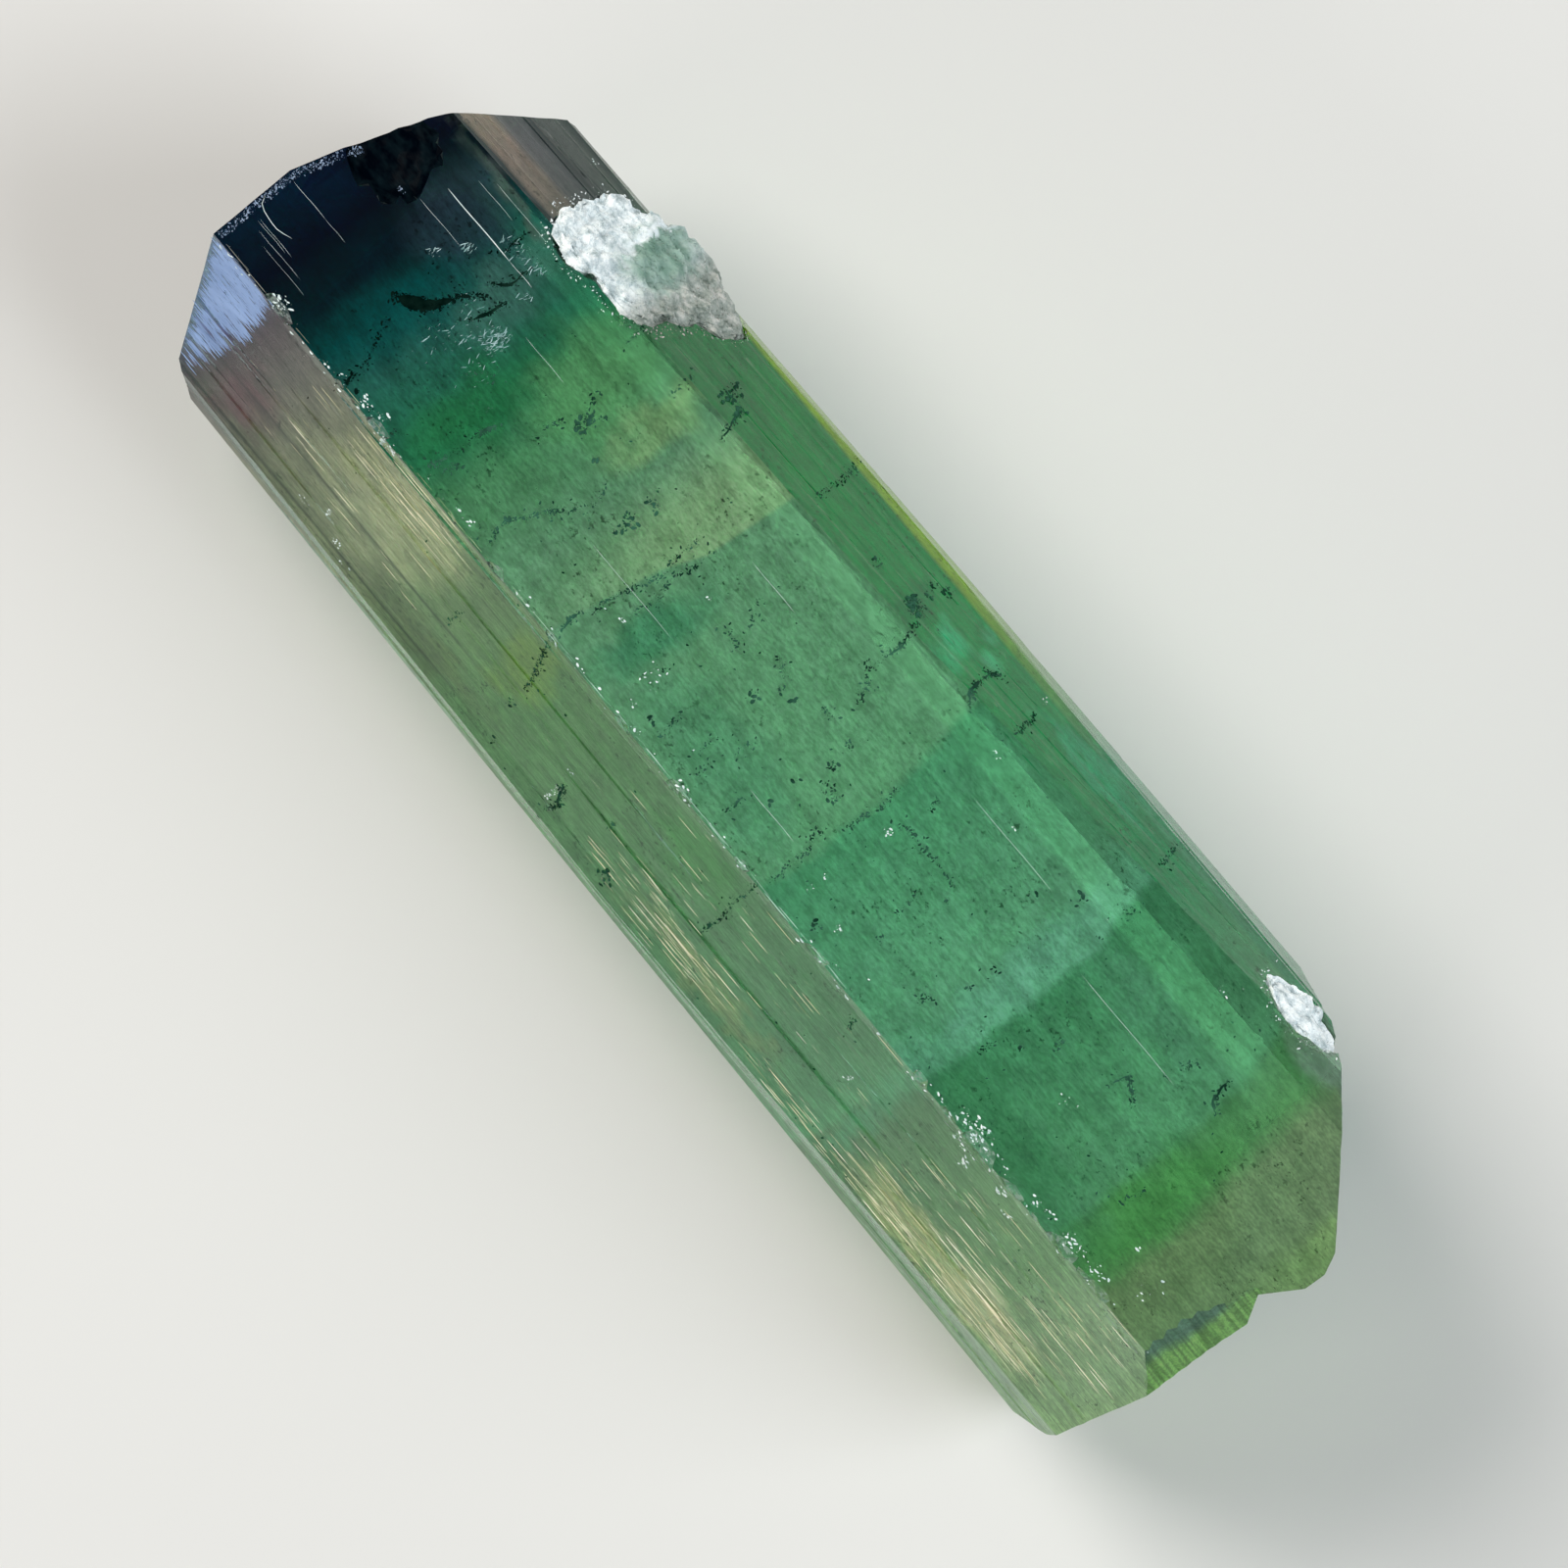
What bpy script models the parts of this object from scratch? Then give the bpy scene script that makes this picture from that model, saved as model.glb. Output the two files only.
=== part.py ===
"""A tourmaline crystal lying on its broad back face, with two remains of the feldspar it grew in.

+X runs along the crystal to its dark, blunt-pointed end, +Y to its left, striated face, and +Z is up.
The origin is under the middle of the crystal, on the surface it lies on. Every length below is in
millimetres, and MM turns it into Blender's metres.
"""

import math
import random

import bmesh
import bpy
from mathutils import Euler, Matrix, Vector, noise

MM = 0.001

# The prism: a flattened nine-sided column that swells a little towards its pale end.
LENGTH = 40.0
AXIS_HEIGHT = 5.3  # the back face rests on z = 0, and the sides are measured from a line above it
STATION_STEP = 1.7
CONTROL_X = (-20.0, 0.0, 20.0)  # pale end, middle, dark end

# Each side: bearing of its normal in degrees from +Z towards +Y, its distance from the axis at the
# pale end, the middle and the dark end, how many striae step across it, and how deep they go.
SIDES = {
    "front": (0, (5.60, 5.25, 4.90), 12, 0.07),
    "upper_left": (60, (5.33, 5.16, 4.99), 11, 0.13),
    "left_rim": (80, (6.09, 6.11, 5.79), 3, 0.06),
    "lower_left": (120, (7.40, 6.54, 6.36), 8, 0.12),
    "back": (180, (AXIS_HEIGHT, AXIS_HEIGHT, AXIS_HEIGHT), 1, 0.0),
    "lower_right": (240, (5.80, 5.87, 5.15), 7, 0.12),
    "right_rim": (276, (6.86, 6.57, 6.22), 3, 0.06),
    "upper_right": (300, (7.70, 6.50, 5.80), 8, 0.12),
    "right_bevel": (330, (7.27, 6.72, 6.12), 2, 0.04),
}
STRIA_RISER = 0.05  # plan width of the little step between two striae
STRIA_DRIFT = 0.09  # how fast a stria's depth changes along the crystal, per millimetre

# Chips knocked off the front-left ridge: place along X, and length.
RIDGE_CHIPS = (
    (17.4, 1.5), (14.9, 0.7), (14.1, 0.7), (13.3, 1.1), (12.3, 0.9), (10.1, 0.8), (8.4, 0.9), (6.0, 0.9),
    (3.2, 1.0), (0.8, 1.1), (-1.8, 0.7), (-4.8, 1.2), (-9.2, 0.8), (-10.4, 1.0), (-11.6, 1.7), (-12.9, 1.2),
    (-13.9, 1.0), (-14.9, 1.7), (-16.2, 1.7),
)
DARK_RIM_CHIPS = 13
DARK_RIM_CHIP = 0.42

# A shell-shaped break in the dark end's upper edge, rippled as broken glass is.
SCOOP_CENTRE = (18.65, -2.05, 11.72)
SCOOP_RADIUS = 2.05
SCOOP_RIPPLE = 0.045
SCOOP_RIPPLE_PITCH = 0.34

# The stepped pale end: a ribbed ledge that slopes down from the front face, and a notch beside it.
LEDGE_Y = (-0.45, 3.75)
LEDGE_START = -18.55
LEDGE_SLOPE = math.radians(54)
LEDGE_RIBS = 9
LEDGE_RIB_DEPTH = 0.1
NOTCH_Y = -0.35
NOTCH_DEPTH = 0.72
NOTCH_WIDTH = 2.2

# Feldspar, lying on the upper right face. middle: place along X, and on Y. reach: how far it spreads at
# each bearing, in degrees from +X up the face. rise and root: how far it stands out and goes in. swell:
# the extra height of its lower half, which hangs over the rim.
UPPER_CRUST = {
    "middle": (12.1, -5.3),
    "reach": (
        (-180, 1.95), (-168, 2.7), (-153, 3.5), (-130, 2.7), (-116, 2.95), (-92, 2.75), (-75, 2.2), (-59, 1.9),
        (-8, 2.15), (28, 2.65), (52, 3.05), (85, 2.3), (114, 2.4), (145, 1.8),
    ),
    "rise": 0.3,
    "root": 0.85,
    "swell": 0.34,
    "seed": 4,
}
LOWER_CRUST = {
    "middle": (-14.15, -5.95),
    "reach": ((0, 1.15), (45, 0.75), (90, 0.62), (135, 0.8), (180, 1.5), (225, 1.0), (270, 0.75), (315, 0.85)),
    "rise": 0.2,
    "root": 0.4,
    "swell": 0.0,
    "seed": 9,
}
CRUST_GAP = 0.12  # between a crust and its seat in the crystal

TOURMALINE_GREEN = (0.045, 0.24, 0.11, 1.0)
FELDSPAR_WHITE = (0.72, 0.77, 0.72, 1.0)


def interpolated(values, x):
    """A side's distance at x, from its values at the three control places."""
    x = min(max(x, CONTROL_X[0] - 1.0), CONTROL_X[2] + 1.0)
    low = 0 if x < CONTROL_X[1] else 1
    share = (x - CONTROL_X[low]) / (CONTROL_X[low + 1] - CONTROL_X[low])
    return values[low] + share * (values[low + 1] - values[low])


def side_normal(name):
    bearing = math.radians(SIDES[name][0])
    return Vector((0.0, math.sin(bearing), math.cos(bearing)))


def side_distance(name, x):
    return interpolated(SIDES[name][1], x)


def corner(first, second, x):
    """Where two neighbouring sides meet in the cross-section at x, as (y, z) from the axis."""
    a, b = side_normal(first), side_normal(second)
    da, db = side_distance(first, x), side_distance(second, x)
    spread = a.y * b.z - a.z * b.y
    return Vector((x, (da * b.z - db * a.z) / spread, (a.y * db - b.y * da) / spread + AXIS_HEIGHT))


def height_on(name, x, y):
    """The height of the named side's plane at x and y."""
    normal = side_normal(name)
    return (side_distance(name, x) - normal.y * y) / normal.z + AXIS_HEIGHT


def stria_edges(count, rng):
    """Shares along a side at which its striae meet, unevenly spaced."""
    cuts = sorted((step + rng.uniform(-0.32, 0.32)) / count for step in range(1, count))
    return [0.0] + cuts + [1.0]


def stria_sink(side_index, stria, x):
    """The share of its depth by which a stria has sunk at x: it drifts along the crystal, and some pinch out."""
    where = Vector((x * STRIA_DRIFT, side_index * 5.7, stria * 3.1 + 0.5))
    return min(max(0.5 + 1.1 * noise.noise(where), 0.0), 1.0)


def cross_section(x, edges_of):
    """The outline at x: each side's striae are flat strips at slightly different depths."""
    names = list(SIDES)
    points = []
    for index, name in enumerate(names):
        before, after = names[index - 1], names[(index + 1) % len(names)]
        start, end = corner(before, name, x), corner(name, after, x)
        run = (end - start).length
        inward = -side_normal(name) * SIDES[name][3]
        edges = edges_of[name]
        points.append(start)
        for stria in range(1, len(edges) - 1):
            half_riser = 0.5 * STRIA_RISER / run
            for share, strip in ((edges[stria] - half_riser, stria - 1), (edges[stria] + half_riser, stria)):
                points.append(start.lerp(end, share) + inward * stria_sink(index, strip, x))
    return points


def prism():
    """The striated column, open at neither end and a little longer than the finished crystal."""
    rng = random.Random(31)
    edges_of = {name: stria_edges(side[2], rng) for name, side in SIDES.items()}
    overshoot = LENGTH / 2 + 0.8
    count = round(2 * overshoot / STATION_STEP)
    bm = bmesh.new()
    rings = []
    for station in range(count + 1):
        x = -overshoot + 2 * overshoot * station / count
        rings.append([bm.verts.new(point) for point in cross_section(x, edges_of)])
    for ring, following in zip(rings, rings[1:]):
        for index in range(len(ring)):
            after = (index + 1) % len(ring)
            bm.faces.new((ring[index], ring[after], following[after], following[index]))
    bm.faces.new(rings[0])
    bm.faces.new(rings[-1])
    bmesh.ops.recalc_face_normals(bm, faces=bm.faces)
    return bm


def cleave(bm, point, normal):
    """Cuts away what lies beyond a crystal face, and closes the cut with that face."""
    geometry = bm.verts[:] + bm.edges[:] + bm.faces[:]
    cut = bmesh.ops.bisect_plane(
        bm, geom=geometry, dist=1e-5, plane_co=point, plane_no=Vector(normal).normalized(), clear_outer=True
    )
    rim = [item for item in cut["geom_cut"] if isinstance(item, bmesh.types.BMEdge)]
    bmesh.ops.holes_fill(bm, edges=[edge for edge in rim if edge.is_boundary], sides=0)
    bmesh.ops.recalc_face_normals(bm, faces=bm.faces)


def end_point(end, y, reach):
    """A point on the front face, or on the left face beyond the ridge, near one end."""
    x = end * reach
    height = min(height_on("front", x, y), height_on("upper_left", x, y))
    return Vector((x, y, height))


def terminate(bm):
    """The dark end is a low, blunt pyramid, and the pale end is broken off in steps and bevels."""
    tip = LENGTH / 2
    cleave(bm, end_point(1, 1.5, tip), (1, 0.0, -0.12))
    cleave(bm, end_point(1, 2.93, tip), (1, 0.45, -0.10))
    cleave(bm, end_point(1, 0.3, tip), (1, -0.31, -0.16))
    cleave(bm, end_point(1, -3.2, tip - 1.18), (1, -0.52, -0.22))
    cleave(bm, Vector((tip - 0.95, 0.0, 3.9)), (1, 0.08, -0.5))
    cleave(bm, Vector((17.8, 6.0, 4.5)), (1, 1.7, -0.1))
    cleave(bm, end_point(-1, -1.97, tip), (-1, 0.065, -0.10))
    cleave(bm, end_point(-1, 4.2, tip - 0.49), (-1, 0.22, 0.0))
    cleave(bm, Vector((-18.75, 6.4, 4.0)), (-1, 3.2, 0.0))
    cleave(bm, Vector((-18.3, 6.5, 2.0)), (-1, 1.1, -0.9))
    cleave(bm, end_point(-1, -3.63, tip - 1.35), (-1, -1.07, -0.33))
    cleave(bm, end_point(-1, -2.1, tip - 0.03), (-1, -0.45, -0.15))


def new_object(name, bm, material=None, smooth_angle=None):
    """Turns millimetre bmesh data into a linked object in metres."""
    bmesh.ops.triangulate(bm, faces=[face for face in bm.faces if len(face.verts) > 4])
    bm.transform(Matrix.Scale(MM, 4))
    mesh = bpy.data.meshes.new(name)
    bm.to_mesh(mesh)
    bm.free()
    obj = bpy.data.objects.new(name, mesh)
    bpy.context.scene.collection.objects.link(obj)
    if material is not None:
        mesh.materials.append(material)
    if smooth_angle is not None:
        mesh.shade_smooth()
        mesh.set_sharp_from_angle(angle=smooth_angle)
    return obj


def cut_with(obj, cutter, name):
    """Cuts a hidden helper's shape out of an object."""
    cutter.hide_render = True
    cutter.display_type = "WIRE"
    modifier = obj.modifiers.new(name, "BOOLEAN")
    modifier.operation = "DIFFERENCE"
    modifier.solver = "EXACT"
    modifier.object = cutter


def add_splinter(bm, centre, length, breadth, depth, turn, rng):
    """One irregular, flat-sided lump, as the void that a chip leaves."""
    made = bmesh.ops.create_icosphere(bm, subdivisions=1, radius=0.5)
    shape = Matrix.Translation(centre) @ turn.to_matrix().to_4x4() @ Matrix.Diagonal((length, breadth, depth, 1.0))
    for vert in made["verts"]:
        vert.co *= rng.uniform(0.72, 1.12)
    bmesh.ops.transform(bm, matrix=shape, verts=made["verts"])


def ridge_chip_cutter():
    rng = random.Random(7)
    bm = bmesh.new()
    for x, length in RIDGE_CHIPS:
        ridge = corner("front", "upper_left", x)
        depth = 0.5 * length
        centre = ridge + Vector((0.0, rng.uniform(0.0, 0.12), rng.uniform(0.0, 0.1)))
        turn = Euler((math.radians(-30) + rng.uniform(-0.35, 0.35), rng.uniform(-0.2, 0.2), rng.uniform(-0.3, 0.3)))
        add_splinter(bm, centre, length, rng.uniform(0.45, 0.7) * length, depth, turn, rng)
    return new_object("ridge_chip_cutter", bm)


def dark_rim_cutter():
    """Small bites along the front face's edge at the dark end."""
    rng = random.Random(12)
    bm = bmesh.new()
    first, last = 2.6, -0.5
    for step in range(DARK_RIM_CHIPS):
        y = first + (last - first) * (step + rng.uniform(-0.25, 0.25)) / (DARK_RIM_CHIPS - 1)
        x = LENGTH / 2 - 0.31 * max(0.7 - y, 0.0)
        centre = Vector((x + 0.03, y, height_on("front", x, y) + 0.03))
        turn = Euler((rng.uniform(-0.4, 0.4), math.radians(45) + rng.uniform(-0.3, 0.3), rng.uniform(-0.5, 0.5)))
        size = DARK_RIM_CHIP * rng.uniform(0.55, 1.0)
        add_splinter(bm, centre, 0.62 * size, 0.5 * size, 0.7 * size, turn, rng)
    return new_object("dark_rim_cutter", bm)


def scoop_cutter():
    """A rippled ball: the ripples run round the point where the blow fell, at the end's edge."""
    bm = bmesh.new()
    bmesh.ops.create_icosphere(bm, subdivisions=4, radius=SCOOP_RADIUS)
    struck = Vector((0.75, 0.35, -0.55)).normalized() * SCOOP_RADIUS
    for vert in bm.verts:
        away = (vert.co - struck).length
        ripple = SCOOP_RIPPLE * math.sin(2 * math.pi * away / SCOOP_RIPPLE_PITCH)
        lump = 0.09 * noise.noise(vert.co * 1.1)
        vert.co *= 1.0 + (ripple + lump) / SCOOP_RADIUS
    bmesh.ops.translate(bm, vec=Vector(SCOOP_CENTRE), verts=bm.verts)
    return new_object("scoop_cutter", bm)


def ledge_cutter():
    """A wedge with a ribbed floor that slopes down to the pale end."""
    low_y, high_y = LEDGE_Y
    count = 2 * LEDGE_RIBS
    reach = 6.0
    top = height_on("front", LEDGE_START, 0.0)
    down = Vector((-math.cos(LEDGE_SLOPE), 0.0, -math.sin(LEDGE_SLOPE)))
    away = Vector((-math.sin(LEDGE_SLOPE), 0.0, math.cos(LEDGE_SLOPE)))
    bm = bmesh.new()
    floor_up, floor_down, roof_up, roof_down = [], [], [], []
    for step in range(count + 1):
        y = low_y + (high_y - low_y) * step / count
        rib = LEDGE_RIB_DEPTH * (step % 2) * (1.0 if step > 5 else 0.35)
        slant = 0.55 * max(0.0, 1.6 - y) / 2.0
        start = Vector((LEDGE_START - slant, y, top)) - away * rib
        floor_up.append(bm.verts.new(start - down * 1.2))
        floor_down.append(bm.verts.new(start + down * reach))
        roof_up.append(bm.verts.new(start - down * 1.2 + away * 3.0))
        roof_down.append(bm.verts.new(start + down * reach + away * 3.0))
    for row, following in ((floor_up, floor_down), (floor_down, roof_down), (roof_down, roof_up), (roof_up, floor_up)):
        for index in range(count):
            bm.faces.new((row[index], row[index + 1], following[index + 1], following[index]))
    for side in (0, count):
        bm.faces.new((floor_up[side], floor_down[side], roof_down[side], roof_up[side]))
    bmesh.ops.recalc_face_normals(bm, faces=bm.faces)
    return new_object("ledge_cutter", bm)


def notch_cutter():
    """A three-sided bar that runs down the pale end and leaves a V groove in it."""
    bm = bmesh.new()
    rows = []
    for height, shift in ((-1.0, 0.5), (13.0, -0.1)):
        bottom = -LENGTH / 2 + NOTCH_DEPTH
        rows.append([
            bm.verts.new((bottom - 0.15 * shift, NOTCH_Y + shift, height)),
            bm.verts.new((bottom - 2 * NOTCH_DEPTH, NOTCH_Y + shift - NOTCH_WIDTH, height)),
            bm.verts.new((bottom - 2 * NOTCH_DEPTH, NOTCH_Y + shift + NOTCH_WIDTH, height)),
        ])
    for index in range(3):
        after = (index + 1) % 3
        bm.faces.new((rows[0][index], rows[0][after], rows[1][after], rows[1][index]))
    bm.faces.new(rows[0])
    bm.faces.new(rows[1])
    bmesh.ops.recalc_face_normals(bm, faces=bm.faces)
    return new_object("notch_cutter", bm)


def pit_cutter():
    """Two etch pits on the left face and one on the front, each a shallow three-sided hollow."""
    rng = random.Random(5)
    bm = bmesh.new()
    for name, x, y, size in (("upper_left", 2.8, 5.45, 0.75), ("upper_left", 1.2, 4.95, 0.55), ("front", -4.6, 2.1, 0.5)):
        normal = side_normal(name)
        centre = Vector((x, y, height_on(name, x, y))) + normal * 0.04
        turn = Euler((-math.atan2(normal.y, normal.z), 0.0, 0.0))
        add_splinter(bm, centre, size, 0.6 * size, 0.42 * size, turn, rng)
    return new_object("pit_cutter", bm)


def reach_at(reaches, bearing):
    """A crust's spread at a bearing, eased from one listed bearing to the next round the circle."""
    first = reaches[0][0]
    bearing = first + (bearing - first) % 360
    stops = list(reaches) + [(first + 360, reaches[0][1])]
    for (low, near), (high, far) in zip(stops, stops[1:]):
        if bearing <= high:
            share = (bearing - low) / (high - low)
            return near + (far - near) * share * share * (3 - 2 * share)
    return reaches[0][1]


def crust_shape(crust, grow, subdivisions):
    """A lumpy cushion rooted in the upper right face. grow pushes its whole surface outwards."""
    x, y = crust["middle"]
    normal = side_normal("upper_right")
    along = Vector((1.0, 0.0, 0.0))
    up = normal.cross(along)
    middle = Vector((x, y, height_on("upper_right", x, y)))
    seed_shift = Vector((0.0, 0.0, crust["seed"] * 3.7))
    bm = bmesh.new()
    bmesh.ops.create_icosphere(bm, subdivisions=subdivisions, radius=1.0)
    for vert in bm.verts:
        unit = vert.co.normalized()
        spread = reach_at(crust["reach"], math.degrees(math.atan2(unit.y, unit.x)))
        lump = 1.0 + 0.10 * noise.noise(unit * 2.5 + seed_shift) + 0.05 * noise.noise(unit * 9.0 + seed_shift)
        height = crust["rise"] + crust["swell"] * max(-unit.y, 0.0) if unit.z > 0 else crust["root"]
        relief = 1.0 + 0.45 * noise.noise(unit * 3.3 + seed_shift) + 0.2 * noise.noise(unit * 8.0 + seed_shift)
        vert.co = Vector((unit.x * spread * lump, unit.y * spread * lump, unit.z * height * relief))
    bm.normal_update()
    for vert, shift in [(vert, vert.normal * grow) for vert in bm.verts]:
        vert.co += shift
    bm.transform(Matrix.Translation(middle) @ Matrix((along, up, normal)).transposed().to_4x4())
    return bm


def principled(name, colour, roughness, transmission=0.0, ior=1.5):
    material = bpy.data.materials.new(name)
    material.use_nodes = True
    shader = material.node_tree.nodes["Principled BSDF"]
    shader.inputs["Base Color"].default_value = colour
    shader.inputs["Roughness"].default_value = roughness
    shader.inputs["Metallic"].default_value = 0.0
    shader.inputs["Transmission Weight"].default_value = transmission
    shader.inputs["IOR"].default_value = ior
    return material


def make_crystal():
    bm = prism()
    terminate(bm)
    crystal = new_object("crystal", bm, principled("tourmaline", TOURMALINE_GREEN, 0.16, 0.8, 1.63))
    cutters = {
        "scoop": scoop_cutter(),
        "ledge": ledge_cutter(),
        "notch": notch_cutter(),
        "ridge_chips": ridge_chip_cutter(),
        "dark_rim": dark_rim_cutter(),
        "pits": pit_cutter(),
        "upper_seat": new_object("upper_seat_cutter", crust_shape(UPPER_CRUST, CRUST_GAP, 4)),
        "lower_seat": new_object("lower_seat_cutter", crust_shape(LOWER_CRUST, CRUST_GAP, 3)),
    }
    for name, cutter in cutters.items():
        cut_with(crystal, cutter, name)
    return crystal


def make_crusts():
    feldspar = principled("feldspar", FELDSPAR_WHITE, 0.75)
    new_object("feldspar_crust_upper", crust_shape(UPPER_CRUST, 0.0, 4), feldspar)
    new_object("feldspar_crust_lower", crust_shape(LOWER_CRUST, 0.0, 3), feldspar)


def centre_footprint():
    """Moves every mesh so that the origin lies under the middle of the whole piece's box."""
    bpy.context.view_layer.update()
    graph = bpy.context.evaluated_depsgraph_get()
    corners = [
        Vector(point) for obj in bpy.data.objects if not obj.hide_render for point in obj.evaluated_get(graph).bound_box
    ]
    lows = [min(point[axis] for point in corners) for axis in range(3)]
    highs = [max(point[axis] for point in corners) for axis in range(3)]
    shift = Vector((-(lows[0] + highs[0]) / 2, -(lows[1] + highs[1]) / 2, -lows[2]))
    for obj in bpy.data.objects:
        obj.data.transform(Matrix.Translation(shift))


for leftover in list(bpy.data.objects):
    bpy.data.objects.remove(leftover, do_unlink=True)
make_crystal()
make_crusts()
centre_footprint()
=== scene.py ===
"""The looks of a green tourmaline crystal that lies on a pale table, seen from straight above.

Places are in millimetres in the frame's own axes, with +X towards the crystal's dark end and +Z up.
MM turns them into Blender's metres.
"""
import math
import random

import bmesh
import bpy
from mathutils import Matrix, Vector, noise
from mathutils.bvhtree import BVHTree


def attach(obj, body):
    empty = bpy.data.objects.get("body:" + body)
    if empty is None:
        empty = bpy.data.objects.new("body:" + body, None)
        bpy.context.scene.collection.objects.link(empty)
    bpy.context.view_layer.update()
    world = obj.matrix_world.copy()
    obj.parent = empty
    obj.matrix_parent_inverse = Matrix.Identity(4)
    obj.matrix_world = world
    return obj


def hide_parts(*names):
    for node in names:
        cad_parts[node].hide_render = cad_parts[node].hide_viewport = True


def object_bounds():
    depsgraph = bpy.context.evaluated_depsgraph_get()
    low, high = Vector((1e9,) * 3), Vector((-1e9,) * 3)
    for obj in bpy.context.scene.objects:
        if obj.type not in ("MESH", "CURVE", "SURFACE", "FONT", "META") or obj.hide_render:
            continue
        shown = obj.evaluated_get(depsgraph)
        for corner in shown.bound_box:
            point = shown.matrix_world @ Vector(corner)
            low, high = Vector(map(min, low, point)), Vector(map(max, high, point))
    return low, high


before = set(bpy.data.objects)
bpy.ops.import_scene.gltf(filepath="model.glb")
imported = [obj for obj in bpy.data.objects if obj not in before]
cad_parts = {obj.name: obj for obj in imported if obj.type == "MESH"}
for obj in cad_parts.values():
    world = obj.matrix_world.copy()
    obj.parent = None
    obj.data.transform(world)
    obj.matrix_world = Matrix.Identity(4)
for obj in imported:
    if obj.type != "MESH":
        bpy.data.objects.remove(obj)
cad_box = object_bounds()

# ---------------------------------------------------------------------------------------------------------
# The studio: a pale matt table under a broad warm softbox and a cooler one, and a long lens looking straight
# down, turned so that the crystal runs from the upper left of the picture to the lower right.
# ---------------------------------------------------------------------------------------------------------
MM = 0.001
VIEW_WIDTH = 41.5
LENS = 500.0
SENSOR = 36.0
FRONT_FACE_HEIGHT = 10.6
AIM = Vector((-0.87, 0.72, 0.0))
PICTURE_RIGHT = Vector((-0.64, -0.768, 0.0)).normalized()
PICTURE_UP = Vector((0.768, -0.64, 0.0)).normalized()
TABLE_REACH = 600.0
TABLE_GAP = 0.03

camera_data = bpy.data.cameras.new("camera")
camera_data.lens = LENS
camera_data.sensor_width = SENSOR
camera = bpy.data.objects.new("camera", camera_data)
camera.location = (AIM + Vector((0.0, 0.0, FRONT_FACE_HEIGHT + VIEW_WIDTH * LENS / SENSOR))) * MM
camera.rotation_euler = Matrix((PICTURE_RIGHT, PICTURE_UP, Vector((0.0, 0.0, 1.0)))).transposed().to_euler()
bpy.context.scene.collection.objects.link(camera)
bpy.context.scene.camera = camera


def softbox(name, right, up, height, width, depth, watts, colour):
    """A rectangular lamp aimed at the crystal, placed by how far right and up of it the lamp stands."""
    lamp = bpy.data.lights.new(name, "AREA")
    lamp.shape = "RECTANGLE"
    lamp.size, lamp.size_y = width * MM, depth * MM
    lamp.energy = watts
    lamp.color = colour
    holder = bpy.data.objects.new(name, lamp)
    place = PICTURE_RIGHT * right + PICTURE_UP * up + Vector((0.0, 0.0, height))
    holder.location = place * MM
    holder.rotation_euler = (-place).to_track_quat("-Z", "Y").to_euler()
    bpy.context.scene.collection.objects.link(holder)


softbox("warm_softbox", -260, 240, 320, 300, 300, 2.05, (1.0, 0.97, 0.92))
softbox("cool_softbox", 300, -60, 260, 240, 300, 1.1, (0.90, 0.96, 1.0))
softbox("low_softbox", -250, -210, 130, 260, 120, 0.45, (1.0, 0.98, 0.95))

studio = bpy.data.worlds.new("studio")
studio.use_nodes = True
studio.node_tree.nodes["Background"].inputs["Color"].default_value = (0.90, 0.95, 1.0, 1.0)
studio.node_tree.nodes["Background"].inputs["Strength"].default_value = 0.12
bpy.context.scene.world = studio
bpy.context.scene.view_settings.view_transform = "Standard"


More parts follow.
